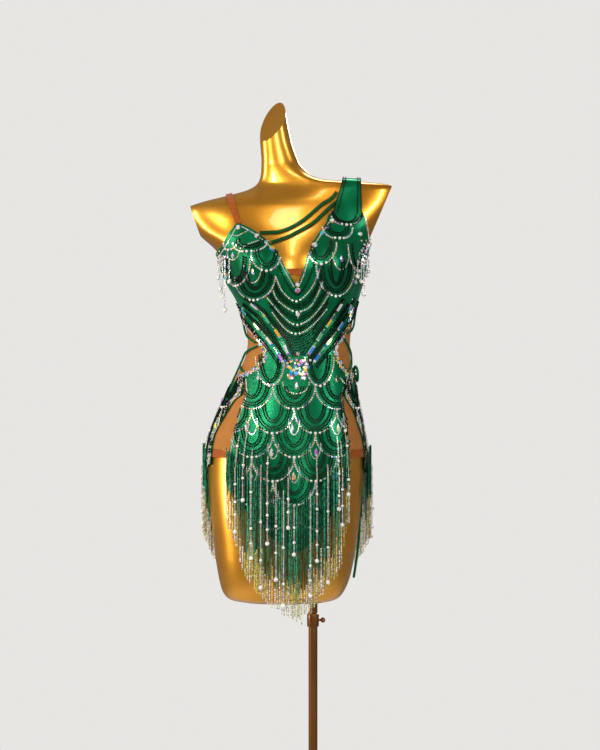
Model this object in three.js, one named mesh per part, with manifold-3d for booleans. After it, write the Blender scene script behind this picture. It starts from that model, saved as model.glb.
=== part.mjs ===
// A salsa dance dress on its limbless display form, with the pole and the round base that carry them.
// Millimetres, +Z up. The origin is on the floor at the pole's axis, and -Y is the front of the dress.
import * as THREE from "three";
import { mergeVertices } from "three/addons/utils/BufferGeometryUtils.js";
import Module from "manifold-3d";

const wasm = await Module();
wasm.setup();

// ---- driving sizes ----
const BASE_RADIUS = 160;
const BASE_THICK = 9;
const SOCKET_RADIUS = 17;
const SOCKET_HEIGHT = 26;
const POLE_RADIUS = 9;
const SEAM = 0.6; // space between two pieces of cloth that are sewn edge to edge
const TOUCH = 0.3; // space between two hard pieces that touch
const SECTION_POWER = 2.2; // how square a level section of the form is: 2 is an ellipse

// Distances out from the form's surface, inner and outer face of each layer.
const MESH_LAYER = { inner: 1.8, outer: 2.9 };
const SATIN_LAYER = { inner: 4.9, outer: 6.2 };
const STRAP_LAYER = { inner: 1.8, outer: 3.3 };
const CORD_LIFT = 6.4; // centre of a side cord, out from the form
const CORD_RADIUS = 2.1;
const FRINGE_THICK = 4;

// ---- the form's surface ----
// Level sections from the bottom to the neck: height, leftmost and rightmost x, front and back depth.
const LEVELS = [
  { z: 652, left: -130, right: 16, front: 45, back: 46 },
  { z: 656, left: -160, right: 40, front: 72, back: 74 },
  { z: 664, left: -174, right: 54, front: 84, back: 87 },
  { z: 680, left: -183, right: 65, front: 93, back: 98 },
  { z: 706, left: -189, right: 75, front: 100, back: 106 },
  { z: 735, left: -194, right: 81, front: 104, back: 111 },
  { z: 770, left: -198, right: 87, front: 107, back: 115 },
  { z: 838, left: -206, right: 95, front: 111, back: 122 },
  { z: 906, left: -210, right: 101, front: 113, back: 129 },
  { z: 940, left: -209, right: 102, front: 113, back: 130 },
  { z: 970, left: -204, right: 99, front: 112, back: 127 },
  { z: 1000, left: -195, right: 93, front: 110, back: 121 },
  { z: 1030, left: -183, right: 88, front: 106, back: 112 },
  { z: 1060, left: -170, right: 83, front: 101, back: 103 },
  { z: 1090, left: -157, right: 79, front: 95, back: 94 },
  { z: 1120, left: -142, right: 74, front: 89, back: 87 },
  { z: 1145, left: -131, right: 71, front: 85, back: 83 },
  { z: 1175, left: -127, right: 71, front: 83, back: 80 },
  { z: 1205, left: -132, right: 75, front: 85, back: 82 },
  { z: 1235, left: -139, right: 80, front: 90, back: 87 },
  { z: 1265, left: -152, right: 87, front: 96, back: 92 },
  { z: 1290, left: -168, right: 95, front: 100, back: 95 },
  { z: 1315, left: -179, right: 100, front: 101, back: 97 },
  { z: 1340, left: -184, right: 103, front: 98, back: 97 },
  { z: 1360, left: -197, right: 108, front: 92, back: 95 },
  { z: 1380, left: -223, right: 116, front: 86, back: 92 },
  { z: 1404, left: -241, right: 131, front: 78, back: 88 },
  { z: 1428, left: -252, right: 146, front: 69, back: 83 },
  { z: 1440, left: -250, right: 153, front: 64, back: 80 },
  { z: 1452, left: -220, right: 159, front: 58, back: 77 },
  { z: 1464, left: -172, right: 163, front: 53, back: 74 },
  { z: 1476, left: -130, right: 165, front: 48, back: 70 },
  { z: 1484, left: -118, right: 161, front: 44, back: 66 },
  { z: 1488, left: -115, right: 144, front: 42, back: 64 },
  { z: 1491, left: -113, right: 104, front: 40, back: 62 },
  { z: 1495, left: -111, right: 26, front: 38, back: 59 },
  { z: 1504, left: -106, right: -8, front: 34, back: 53 },
  { z: 1516, left: -104, right: -20, front: 30, back: 48 },
  { z: 1530, left: -103, right: -28, front: 28, back: 44 },
  { z: 1580, left: -106, right: -45, front: 29, back: 37 },
  { z: 1680, left: -103, right: -62, front: 31, back: 33 },
];
const FORM_BOTTOM = LEVELS[0].z;
const FORM_TOP = LEVELS[LEVELS.length - 1].z;

// The two cups: where each is fullest, how far it stands out, and how wide and tall it spreads.
const CUPS = [
  { x: -128, z: 1326, lift: 34, wide: 36, tall: 36 },
  { x: 46, z: 1328, lift: 34, wide: 36, tall: 36 },
];

// The slanting cut that ends the neck: a point on it and its outward direction.
const NECK_CUT = { point: new THREE.Vector3(-83, 0, 1608), out: new THREE.Vector3(-0.56, -0.6, 0.56) };

// The flat cuts that end the two arms, each from its low point up to the tip of the shoulder.
const ARM_CUTS = [
  { low: { x: -222, z: 1375 }, tip: { x: -246, z: 1445 } },
  { low: { x: 105, z: 1360 }, tip: { x: 156, z: 1479 } },
];

const clamp = THREE.MathUtils.clamp;
const lerp = THREE.MathUtils.lerp;
const radians = THREE.MathUtils.degToRad;

// Slopes of the smooth curve through (knot, value) pairs that never overshoots them.
function curveSlopes(knots, values) {
  const steps = knots.slice(1).map((k, i) => (values[i + 1] - values[i]) / (k - knots[i]));
  return knots.map((_, i) => {
    if (i === 0) return steps[0];
    if (i === knots.length - 1) return steps[i - 1];
    const before = steps[i - 1];
    const after = steps[i];
    return before * after <= 0 ? 0 : (2 * before * after) / (before + after);
  });
}

// One column of LEVELS as a function of height.
function profile(column) {
  const knots = LEVELS.map((level) => level.z);
  const values = LEVELS.map((level) => level[column]);
  const slopes = curveSlopes(knots, values);
  return (z) => {
    const height = clamp(z, knots[0], knots[knots.length - 1]);
    let i = knots.findIndex((k) => k >= height) - 1;
    i = clamp(i, 0, knots.length - 2);
    const span = knots[i + 1] - knots[i];
    const t = (height - knots[i]) / span;
    const u = 1 - t;
    return (
      values[i] * u * u * (1 + 2 * t) + values[i + 1] * t * t * (3 - 2 * t) +
      slopes[i] * span * t * u * u - slopes[i + 1] * span * t * t * u
    );
  };
}

const leftAt = profile("left");
const rightAt = profile("right");
const frontAt = profile("front");
const backAt = profile("back");
const middleAt = (z) => (leftAt(z) + rightAt(z)) / 2;
const halfWidthAt = (z) => (rightAt(z) - leftAt(z)) / 2;

// How far the cups push the front out at (x, z); across is x as a share of the half width.
function cupLift(x, z, across) {
  const fade = Math.max(0, 1 - across ** 4);
  return CUPS.reduce((sum, cup) => {
    const spread = ((x - cup.x) / cup.wide) ** 2 + ((z - cup.z) / cup.tall) ** 2;
    return sum + cup.lift * fade * Math.exp(-spread / 2);
  }, 0);
}

// Zero on the form's surface, below zero inside it.
function formField(x, y, z) {
  const across = (x - middleAt(z)) / halfWidthAt(z);
  const deep = y < 0 ? Math.max(0, -y - cupLift(x, z, across)) / frontAt(z) : y / backAt(z);
  return Math.abs(across) ** SECTION_POWER + deep ** SECTION_POWER - 1;
}

// Outward direction of the form's surface at a point.
function outwards(point) {
  const h = 0.6;
  const { x, y, z } = point;
  return new THREE.Vector3(
    formField(x + h, y, z) - formField(x - h, y, z),
    formField(x, y + h, z) - formField(x, y - h, z),
    formField(x, y, z + h) - formField(x, y, z - h),
  ).normalize();
}

// The point at an angle round the form (0 the front, 90 the right side, 180 the back) and a height.
function onForm(angle, z) {
  const sine = Math.sin(radians(angle));
  const cosine = Math.cos(radians(angle));
  const across = Math.sign(sine) * Math.abs(sine) ** (2 / SECTION_POWER);
  const deep = Math.abs(cosine) ** (2 / SECTION_POWER);
  const x = middleAt(z) + halfWidthAt(z) * across;
  const y = cosine > 0 ? -frontAt(z) * deep - cupLift(x, z, across) : backAt(z) * deep;
  return new THREE.Vector3(x, y, z);
}

const liftedFrom = (point, lift) => point.clone().addScaledVector(outwards(point), lift);

// The angle round the front at which the surface is at x.
function frontAngle(x, z) {
  const across = clamp((x - middleAt(z)) / halfWidthAt(z), -1, 1);
  return THREE.MathUtils.radToDeg(Math.asin(Math.sign(across) * Math.abs(across) ** (SECTION_POWER / 2)));
}

// An outline point {x, z} on the front, or {angle, z} anywhere, as [angle, z]. turn adds whole turns.
const flatPoint = ({ x, angle, z, turn = 0 }) => [(angle ?? frontAngle(x, z)) + turn, z];

// ---- making closed solids ----
function solidMesh(name, material, points, faces) {
  const geometry = new THREE.BufferGeometry();
  geometry.setAttribute("position", new THREE.Float32BufferAttribute(points.flatMap((p) => [p.x, p.y, p.z]), 3));
  geometry.setIndex(faces.flat());
  let volume = 0;
  for (const [a, b, c] of faces) volume += points[a].dot(points[b].clone().cross(points[c]));
  if (volume < 0) geometry.setIndex(faces.flatMap(([a, b, c]) => [a, c, b]));
  const mesh = new THREE.Mesh(geometry, material);
  mesh.name = name;
  return mesh;
}

// The wall between an inner and an outer grid of points; closed joins the last column to the first.
function wall(name, material, inner, outer, closed = false) {
  const rows = inner.length;
  const columns = inner[0].length;
  const points = [...inner.flat(), ...outer.flat()];
  const outside = rows * columns;
  const at = (layer, row, column) => layer * outside + row * columns + (column % columns);
  const faces = [];
  const quad = (a, b, c, d) => faces.push([a, b, c], [a, c, d]);
  const lastColumn = closed ? columns : columns - 1;
  for (let j = 0; j < lastColumn; j++) {
    for (let i = 0; i < rows - 1; i++) {
      quad(at(1, i, j), at(1, i, j + 1), at(1, i + 1, j + 1), at(1, i + 1, j));
      quad(at(0, i, j), at(0, i + 1, j), at(0, i + 1, j + 1), at(0, i, j + 1));
    }
    quad(at(0, 0, j), at(0, 0, j + 1), at(1, 0, j + 1), at(1, 0, j));
    quad(at(0, rows - 1, j), at(1, rows - 1, j), at(1, rows - 1, j + 1), at(0, rows - 1, j + 1));
  }
  if (!closed) {
    for (let i = 0; i < rows - 1; i++) {
      quad(at(0, i, 0), at(1, i, 0), at(1, i + 1, 0), at(0, i + 1, 0));
      quad(at(0, i, lastColumn), at(0, i + 1, lastColumn), at(1, i + 1, lastColumn), at(1, i, lastColumn));
    }
  }
  return solidMesh(name, material, points, faces);
}

// count + 1 points along a smooth curve through flat points, spaced by their order in the list.
function resample(list, count) {
  const curve = new THREE.SplineCurve(list.map(([a, z]) => new THREE.Vector2(a, z)));
  return Array.from({ length: count + 1 }, (_, i) => {
    const p = curve.getPoint(i / count);
    return [p.x, p.y];
  });
}

// A grid of [angle, z] inside four edges. bottom and top run the same way; left and right run upwards.
function panelGrid(bottom, top, left, right) {
  const columns = bottom.length - 1;
  const rows = left.length - 1;
  return left.map((_, i) =>
    bottom.map((__, j) => {
      const s = j / columns;
      const t = i / rows;
      return [0, 1].map((k) =>
        lerp(bottom[j][k], top[j][k], t) + lerp(left[i][k], right[i][k], s) -
        lerp(lerp(bottom[0][k], top[0][k], t), lerp(bottom[columns][k], top[columns][k], t), s));
    }),
  );
}

const gridOnForm = (grid, lift) => grid.map((row) => row.map(([angle, z]) => liftedFrom(onForm(angle, z), lift)));

const panel = (name, material, grid, layer, closed = false) =>
  wall(name, material, gridOnForm(grid, layer.inner), gridOnForm(grid, layer.outer), closed);

const straightEdge = (from, to, rows) =>
  Array.from({ length: rows + 1 }, (_, i) => [lerp(from[0], to[0], i / rows), lerp(from[1], to[1], i / rows)]);

const lower = (list, drop) => list.map(([a, z]) => [a, z - drop]);

// ---- materials ----
const finish = (color, roughness, metalness = 0) => new THREE.MeshStandardMaterial({ color, roughness, metalness });
const satin = finish(0x067a42, 0.32);
const binding = finish(0x04592f, 0.5);
const nudeMesh = finish(0xc07f45, 0.75);
const nudeElastic = finish(0xb5642c, 0.6);
const beadStrings = finish(0x3f6f55, 0.3);
const crystalStrings = finish(0xdfe3ea, 0.15);
const gold = finish(0xc98a12, 0.25, 0.85);

// ---- the display form and its stand ----
function displayForm() {
  const around = 32;
  const ring = (z) => Array.from({ length: around }, (_, i) => onForm((i * 360) / around, z));
  const heights = ringHeights();
  const points = heights.flatMap(ring);
  const faces = [];
  for (let i = 0; i < heights.length - 1; i++) {
    for (let j = 0; j < around; j++) {
      const next = (j + 1) % around;
      const low = i * around;
      const high = low + around;
      faces.push([low + j, low + next, high + next], [low + j, high + next, high + j]);
    }
  }
  const bottom = points.length;
  points.push(new THREE.Vector3(middleAt(FORM_BOTTOM), 0, FORM_BOTTOM));
  points.push(new THREE.Vector3(middleAt(FORM_TOP), 0, FORM_TOP));
  const topRing = (heights.length - 1) * around;
  for (let j = 0; j < around; j++) {
    const next = (j + 1) % around;
    faces.push([bottom, next, j], [bottom + 1, topRing + j, topRing + next]);
  }
  return [neckBlock(), ...ARM_CUTS.map(armBlock)].reduce(cutBy, solidMesh("dress_form", gold, points, faces));
}

// The heights of the form's rings: every level, and from the bust to the shoulders one more between two.
function ringHeights() {
  return LEVELS.flatMap(({ z }, i) => {
    const next = LEVELS[i + 1]?.z;
    return z >= 1235 && z < 1452 ? [z, (z + next) / 2] : [z];
  });
}

// A block that covers everything outside an arm's flat cut.
function armBlock({ low, tip }) {
  const reach = 60;
  const deep = 300;
  const run = new THREE.Vector3(tip.x - low.x, 0, tip.z - low.z);
  const length = run.length() + 40;
  const up = run.normalize();
  const out = new THREE.Vector3(up.z, 0, -up.x).multiplyScalar(Math.sign(up.x));
  const centre = new THREE.Vector3(low.x, 0, low.z)
    .addScaledVector(up, length / 2)
    .addScaledVector(out, reach / 2);
  const turn = new THREE.Quaternion().setFromUnitVectors(new THREE.Vector3(0, 0, 1), up);
  return new THREE.BoxGeometry(reach, deep, length)
    .applyMatrix4(new THREE.Matrix4().compose(centre, turn, new THREE.Vector3(1, 1, 1)));
}

// A block that covers everything above the slanting cut of the neck.
function neckBlock() {
  const size = 400;
  const block = new THREE.BoxGeometry(size, size, size);
  const out = NECK_CUT.out.clone().normalize();
  const turn = new THREE.Quaternion().setFromUnitVectors(new THREE.Vector3(0, 0, 1), out);
  const place = NECK_CUT.point.clone().addScaledVector(out, size / 2);
  return block.applyMatrix4(new THREE.Matrix4().compose(place, turn, new THREE.Vector3(1, 1, 1)));
}

function manifoldOf(geometry) {
  const bare = geometry.clone();
  bare.deleteAttribute("normal");
  bare.deleteAttribute("uv");
  const merged = mergeVertices(bare, 1e-3);
  return new wasm.Manifold(
    new wasm.Mesh({
      numProp: 3,
      vertProperties: new Float32Array(merged.attributes.position.array),
      triVerts: new Uint32Array(merged.index.array),
    }),
  );
}

function cutBy(mesh, cutter) {
  const { vertProperties, triVerts } = manifoldOf(mesh.geometry).subtract(manifoldOf(cutter)).getMesh();
  const geometry = new THREE.BufferGeometry();
  geometry.setAttribute("position", new THREE.BufferAttribute(vertProperties, 3));
  geometry.setIndex(new THREE.BufferAttribute(triVerts, 1));
  mesh.geometry = geometry;
  return mesh;
}

// A shape turned about +Z from (radius, height) pairs that start and end on the axis.
function turned(name, material, pairs, segments) {
  const geometry = new THREE.LatheGeometry(pairs.map(([r, h]) => new THREE.Vector2(r, h)), segments);
  const mesh = new THREE.Mesh(geometry.rotateX(Math.PI / 2), material);
  mesh.name = name;
  return mesh;
}

function stand() {
  const bevel = 3;
  const base = turned("stand_base", gold, [
    [0, 0], [BASE_RADIUS, 0], [BASE_RADIUS, BASE_THICK - bevel], [BASE_RADIUS - bevel, BASE_THICK],
    [SOCKET_RADIUS, BASE_THICK + 1], [SOCKET_RADIUS, SOCKET_HEIGHT - 2],
    [SOCKET_RADIUS - 2, SOCKET_HEIGHT], [0, SOCKET_HEIGHT],
  ], 48);
  const foot = SOCKET_HEIGHT + TOUCH;
  const head = FORM_BOTTOM - TOUCH;
  const pole = turned("stand_pole", gold, [
    [0, foot], [POLE_RADIUS, foot], [POLE_RADIUS, head], [0, head],
  ], 20);
  const stem = 2.4;
  const ball = 5.4;
  const knob = turned("stand_knob", gold, [
    [0, 0], [stem, 0], [stem, 3.5], [ball * 0.8, 5], [ball, 8], [ball * 0.75, 11], [0, 12.5],
  ], 12);
  knob.rotation.y = Math.PI / 2;
  knob.position.set(POLE_RADIUS + TOUCH, 0, 616);
  return [base, pole, knob];
}

// ---- nude net slip under the satin ----
function slip() {
  const columns = 36;
  const hem = 943;
  const hemBand = 15;
  const rows = [hem + hemBand + SEAM, 985, 1015, 1045, 1075, 1102, 1126, 1148, 1170, 1194, 1217, 1236, 1251, 1262];
  const round = (z) => Array.from({ length: columns }, (_, j) => [(j * 360) / columns, z]);
  const band = { inner: MESH_LAYER.inner, outer: MESH_LAYER.outer + 0.4 };
  return [
    panel("slip_net", nudeMesh, rows.map(round), MESH_LAYER, true),
    panel("slip_hem", nudeElastic, [hem, hem + hemBand].map(round), band, true),
  ];
}

// ---- the satin bodice ----
const SIDE_SEAM = 104; // angle of the side seams, just behind the widest line

const CUP_RIGHT_TOP = [
  { angle: -SIDE_SEAM, z: 1338 }, { angle: -92, z: 1346 }, { x: -180, z: 1359 }, { x: -169, z: 1374 },
  { x: -158, z: 1391 }, { x: -151, z: 1400 }, { x: -139, z: 1400 }, { x: -111, z: 1383 },
  { x: -82, z: 1358 }, { x: -64, z: 1331 }, { x: -46, z: 1303 }, { x: -34, z: 1282 },
].map(flatPoint);
const CUP_RIGHT_SEAM = [
  { angle: -SIDE_SEAM, z: 1266 }, { angle: -90, z: 1268 }, { x: -145, z: 1265 }, { x: -124, z: 1260 },
  { x: -100, z: 1259 }, { x: -78, z: 1264 }, { x: -56, z: 1271 }, { x: -34, z: 1274 },
].map(flatPoint);
const CUP_LEFT_TOP = [
  { x: -32, z: 1282 }, { x: -18, z: 1312 }, { x: -9, z: 1340 }, { x: 1, z: 1363 }, { x: 14, z: 1386 },
  { x: 24, z: 1402 }, { x: 38, z: 1425 }, { x: 94, z: 1424 }, { x: 100, z: 1403 }, { x: 104, z: 1383 },
  { x: 105, z: 1365 }, { angle: 91, z: 1350 }, { angle: SIDE_SEAM, z: 1340 },
].map(flatPoint);
const CUP_LEFT_SEAM = [
  { x: -32, z: 1274 }, { x: -12, z: 1273 }, { x: 10, z: 1268 }, { x: 41, z: 1264 }, { x: 64, z: 1266 },
  { x: 80, z: 1268 }, { angle: 92, z: 1270 }, { angle: SIDE_SEAM, z: 1268 },
].map(flatPoint);

const rightSeam = resample(CUP_RIGHT_SEAM, CUP_RIGHT_TOP.length - 1);
const leftSeam = resample(CUP_LEFT_SEAM, CUP_LEFT_TOP.length - 1);
const bustSeam = [...rightSeam, ...leftSeam];

function cups() {
  const rows = 8;
  const cup = (name, top, seam) => {
    const last = top.length - 1;
    const grid = panelGrid(seam, top, straightEdge(seam[0], top[0], rows), straightEdge(seam[last], top[last], rows));
    return panel(name, satin, grid, SATIN_LAYER);
  };
  return [cup("cup_right", CUP_RIGHT_TOP, rightSeam), cup("cup_left", CUP_LEFT_TOP, leftSeam)];
}

// The curved side edges of the midriff and the seam that joins it to the skirt, low at the middle.
const MIDRIFF_LEFT = [
  { x: -130, z: 1104 }, { x: -122, z: 1111 }, { x: -111, z: 1121 }, { x: -102, z: 1135 }, { x: -96, z: 1152 },
  { x: -101, z: 1170 }, { x: -112, z: 1188 }, { x: -122, z: 1203 }, { x: -130, z: 1220 }, { x: -136, z: 1233 },
  { angle: -76, z: 1240 }, { angle: -83, z: 1246 }, { angle: -90, z: 1253 }, { angle: -97, z: 1260 },
  { angle: -SIDE_SEAM, z: 1266 - SEAM },
].map(flatPoint);
const MIDRIFF_RIGHT = [
  { x: 67, z: 1111 }, { x: 61, z: 1118 }, { x: 52, z: 1130 }, { x: 43, z: 1142 }, { x: 39, z: 1155 },
  { x: 42, z: 1166 }, { x: 49, z: 1179 }, { x: 61, z: 1194 }, { x: 67, z: 1210 }, { x: 73, z: 1228 },
  { angle: 75, z: 1238 }, { angle: 82, z: 1245 }, { angle: 90, z: 1253 }, { angle: 97, z: 1260 },
  { angle: SIDE_SEAM, z: 1268 - SEAM },
].map(flatPoint);
const WAIST_SEAM = [
  { x: -130, z: 1104 }, { x: -98, z: 1092 }, { x: -64, z: 1084 }, { x: -30, z: 1081 }, { x: 6, z: 1085 },
  { x: 40, z: 1096 }, { x: 67, z: 1111 },
].map(flatPoint);
const waistSeam = resample(WAIST_SEAM, bustSeam.length - 1);

function midriff() {
  const rows = 12;
  const grid = panelGrid(waistSeam, lower(bustSeam, SEAM), resample(MIDRIFF_LEFT, rows), resample(MIDRIFF_RIGHT, rows));
  return panel("midriff_front", satin, grid, SATIN_LAYER);
}

function backBand() {
  const columns = 14;
  const from = SIDE_SEAM + 0.5;
  const top = [
    { angle: from, z: 1339 }, { angle: 130, z: 1334 }, { angle: 155, z: 1330 }, { angle: 180, z: 1328 },
    { angle: 205, z: 1329 }, { angle: 230, z: 1332 }, { angle: 360 - from, z: 1337 },
  ].map(flatPoint);
  const bottom = [
    { angle: from, z: 1268 }, { angle: 140, z: 1272 }, { angle: 180, z: 1276 }, { angle: 220, z: 1271 },
    { angle: 360 - from, z: 1266 },
  ].map(flatPoint);
  const low = resample(bottom, columns);
  const high = resample(top, columns);
  const grid = panelGrid(low, high, straightEdge(low[0], high[0], 4), straightEdge(low[columns], high[columns], 4));
  return panel("back_band", satin, grid, SATIN_LAYER);
}

// ---- the skirt ----
function skirt() {
  const frontLeft = resample([
    { x: -168, z: 893 }, { x: -164, z: 943 }, { x: -159, z: 966 }, { x: -151, z: 998 }, { x: -143, z: 1027 },
    { x: -136, z: 1046 }, { x: -129, z: 1072 }, { x: -130, z: 1104 - SEAM },
  ].map(flatPoint), 9);
  const frontRight = resample([
    { x: 68, z: 916 }, { x: 67, z: 943 }, { x: 65, z: 989 }, { x: 61, z: 1016 }, { x: 56, z: 1045 },
    { x: 55, z: 1072 }, { x: 67, z: 1111 - SEAM },
  ].map(flatPoint), 9);
  const frontHem = resample([
    { x: -168, z: 893 }, { x: -124, z: 836 }, { x: -76, z: 786 }, { x: -32, z: 762 }, { x: 10, z: 796 },
    { x: 44, z: 856 }, { x: 68, z: 916 },
  ].map(flatPoint), waistSeam.length - 1);
  const front = panelGrid(frontHem, lower(waistSeam, SEAM), frontLeft, frontRight);

  const around = 26;
  const rows = 9;
  const backTop = resample([
    { x: -132, z: 1103 }, { x: -147, z: 1094 }, { angle: -80, z: 1082 }, { angle: -98, z: 1066 },
    { angle: -125, z: 1052 }, { angle: -155, z: 1044 }, { angle: -180, z: 1042 }, { angle: -210, z: 1047 },
    { angle: -240, z: 1058 }, { angle: -265, z: 1075 }, { angle: -284, z: 1093 }, { x: 69, z: 1110, turn: -360 },
  ].map(flatPoint), around);
  const backHem = resample([
    { x: -198, z: 930 }, { angle: -90, z: 918 }, { angle: -120, z: 890 }, { angle: -150, z: 852 },
    { angle: -180, z: 824 }, { angle: -210, z: 852 }, { angle: -240, z: 890 }, { angle: -266, z: 914 },
    { x: 97, z: 920, turn: -360 },
  ].map(flatPoint), around);
  const slitLeft = resample([
    { x: -198, z: 930 }, { x: -196, z: 952 }, { x: -194, z: 970 }, { x: -189, z: 989 }, { x: -179, z: 1008 },
    { x: -165, z: 1032 }, { x: -150, z: 1055 }, { x: -134, z: 1071 }, { x: -132, z: 1103 },
  ].map(flatPoint), rows);
  const slitRight = resample([
    { x: 97, z: 920, turn: -360 }, { x: 97, z: 951, turn: -360 }, { x: 94, z: 975, turn: -360 },
    { x: 86, z: 1001, turn: -360 }, { x: 74, z: 1035, turn: -360 }, { x: 57, z: 1070, turn: -360 },
    { x: 69, z: 1110, turn: -360 },
  ].map(flatPoint), rows);
  return [
    panel("skirt_front", satin, front, SATIN_LAYER),
    panel("skirt_back", satin, panelGrid(backHem, backTop, slitLeft, slitRight), SATIN_LAYER),
  ];
}

// ---- straps, cords and bands laid along lines ----
// A flat band or a round cord along points, each with the direction that is outwards there.
function ribbon(name, material, line, width, thick) {
  const rows = [];
  for (let i = 0; i < line.length; i++) {
    const { point, out } = line[i];
    const before = line[Math.max(i - 1, 0)].point;
    const after = line[Math.min(i + 1, line.length - 1)].point;
    const along = after.clone().sub(before).normalize();
    const side = along.clone().cross(out).normalize().multiplyScalar(width / 2);
    const up = side.clone().cross(along).normalize().multiplyScalar(thick / 2);
    rows.push({ side, up, point });
  }
  const corner = ({ side, up, point }, s, u) => point.clone().addScaledVector(side, s).addScaledVector(up, u);
  const inner = rows.map((row) => [corner(row, -1, -1), corner(row, 1, -1)]);
  const outer = rows.map((row) => [corner(row, -1, 1), corner(row, 1, 1)]);
  return wall(name, material, inner, outer);
}

// Points along the form through flat points, lifted off its surface.
function lineOnForm(list, count, lift) {
  return resample(list.map(flatPoint), count).map(([angle, z]) => {
    const point = onForm(angle, z);
    const out = outwards(point);
    return { point: point.addScaledVector(out, lift), out };
  });
}

// The highest level at which the form still reaches out to x.
function crestAt(x) {
  let low = 1440;
  let high = FORM_TOP;
  for (let i = 0; i < 40; i++) {
    const z = (low + high) / 2;
    if (Math.abs(x - middleAt(z)) < halfWidthAt(z)) low = z;
    else high = z;
  }
  return low;
}

// A line up the front of a shoulder, over it and down the back, from x and z to x and z.
function overShoulder(front, crestX, back, count, lift) {
  const crest = crestAt(crestX) - 0.05;
  const line = [];
  for (let i = 0; i <= 2 * count; i++) {
    const rise = Math.sin((Math.min(i, 2 * count - i) / count) * (Math.PI / 2));
    const end = i <= count ? front : back;
    const x = lerp(end.x, crestX, rise);
    const z = Math.min(lerp(end.z, crest, rise), crestAt(x) - 0.05);
    const angle = frontAngle(x, z);
    const point = onForm(i <= count ? angle : 180 - angle, z);
    const out = outwards(point);
    line.push({ point: point.addScaledVector(out, lift), out });
  }
  return line;
}

// A band whose two edges each go over the shoulder, so that it can be wide and change width.
function shoulderPanel(name, material, edges, count, layer) {
  const face = (lift) => {
    const lines = edges.map((edge) => overShoulder(edge.front, edge.crest, edge.back, count, lift));
    return lines[0].map((_, i) => lines.map((line) => line[i].point));
  };
  return wall(name, material, face(layer.inner), face(layer.outer));
}

function straps() {
  const wide = shoulderPanel("strap_wide", satin, [
    { front: { x: 38.4, z: 1426 }, crest: 60, back: { x: 22, z: 1336 } },
    { front: { x: 57, z: 1425.6 }, crest: 71, back: { x: 36, z: 1336 } },
    { front: { x: 75, z: 1425.2 }, crest: 82, back: { x: 50, z: 1337 } },
    { front: { x: 93.6, z: 1425 }, crest: 93, back: { x: 64, z: 1338 } },
  ], 9, SATIN_LAYER);
  const nude = shoulderPanel("strap_nude", nudeElastic, [
    { front: { x: -153, z: 1404 }, crest: -174, back: { x: -152, z: 1341 } },
    { front: { x: -141, z: 1404 }, crest: -161, back: { x: -140, z: 1341 } },
  ], 9, STRAP_LAYER);
  const armhole = ribbon("strap_armhole", nudeElastic, lineOnForm([
    { angle: 100, z: 1347 }, { angle: 102, z: 1362 }, { angle: 109, z: 1384 }, { angle: 122, z: 1410 },
    { angle: 142, z: 1438 },
  ], 8, 3.2), 8, 1.4);
  const level = (left, right, z) => resample([{ x: left, z }, { x: right, z }].map(flatPoint), 4);
  const bridge = panel("bridge_band", nudeElastic, [level(-44.5, -24, 1302), level(-51.5, -19, 1314)], SATIN_LAYER);
  return [wide, nude, armhole, bridge];
}

function chestCords() {
  const width = 6.3;
  const thick = 2.2;
  const upper = lineOnForm([
    { x: -104, z: 1383 }, { x: -86, z: 1384 }, { x: -60, z: 1388 }, { x: -16, z: 1412 }, { x: 27, z: 1448 },
    { x: 46, z: 1466 },
  ], 14, 3.4);
  const lowerLine = lineOnForm([
    { x: -82, z: 1363.4 }, { x: -64, z: 1370.5 }, { x: -43, z: 1379 }, { x: -3, z: 1402 }, { x: 24, z: 1427 },
    { x: 45, z: 1446 },
  ], 14, 3.4);
  return [
    ribbon("chest_cord_upper", binding, upper, width, thick),
    ribbon("chest_cord_lower", binding, lowerLine, width, thick),
  ];
}

// A round cord along points given in millimetres.
function roundCord(name, material, points, radius, steps, sides = 8) {
  const section = new THREE.Shape();
  for (let i = 0; i < sides; i++) {
    const turn = (i * 2 * Math.PI) / sides;
    if (i === 0) section.moveTo(radius, 0);
    else section.lineTo(radius * Math.cos(turn), radius * Math.sin(turn));
  }
  section.closePath();
  const path = new THREE.CatmullRomCurve3(points);
  const mesh = new THREE.Mesh(
    new THREE.ExtrudeGeometry(section, { steps, extrudePath: path, bevelEnabled: false }), material);
  mesh.name = name;
  return mesh;
}

function sideCords() {
  const cord = (name, list, steps = 12) => {
    const points = lineOnForm(list, list.length * 2, CORD_LIFT).map((spot) => spot.point);
    return roundCord(name, binding, points, CORD_RADIUS, steps, 6);
  };
  return [
    cord("side_cord_upper_right", [
      { angle: -112, z: 1258 }, { angle: -97, z: 1236 }, { angle: -90, z: 1210 }, { angle: -82, z: 1190 },
      { x: -119, z: 1177 }, { x: -110, z: 1170 },
    ]),
    cord("side_cord_lower_right", [
      { x: -107, z: 1162 }, { x: -121, z: 1155 }, { angle: -84, z: 1143 }, { angle: -86, z: 1126 },
      { x: -136, z: 1113 }, { x: -133, z: 1109 },
    ]),
    cord("hip_cord_right", [
      { angle: -93, z: 1124 }, { angle: -96, z: 1108 }, { angle: -98, z: 1090 }, { angle: -100, z: 1072 },
    ]),
    cord("side_cord_upper_left", [
      { angle: 112, z: 1260 }, { angle: 98, z: 1240 }, { angle: 92, z: 1216 }, { angle: 78, z: 1198 },
      { x: 62, z: 1189 },
    ]),
    cord("side_cord_lower_left", [
      { x: 57, z: 1178 }, { x: 65, z: 1162 }, { angle: 80, z: 1144 }, { angle: 76, z: 1126 }, { x: 67, z: 1117 },
    ]),
    cord("hip_cord_left", [
      { angle: 97, z: 1119 }, { angle: 98, z: 1106 }, { angle: 100, z: 1094 }, { angle: 102, z: 1086 },
    ]),
  ];
}

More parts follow.
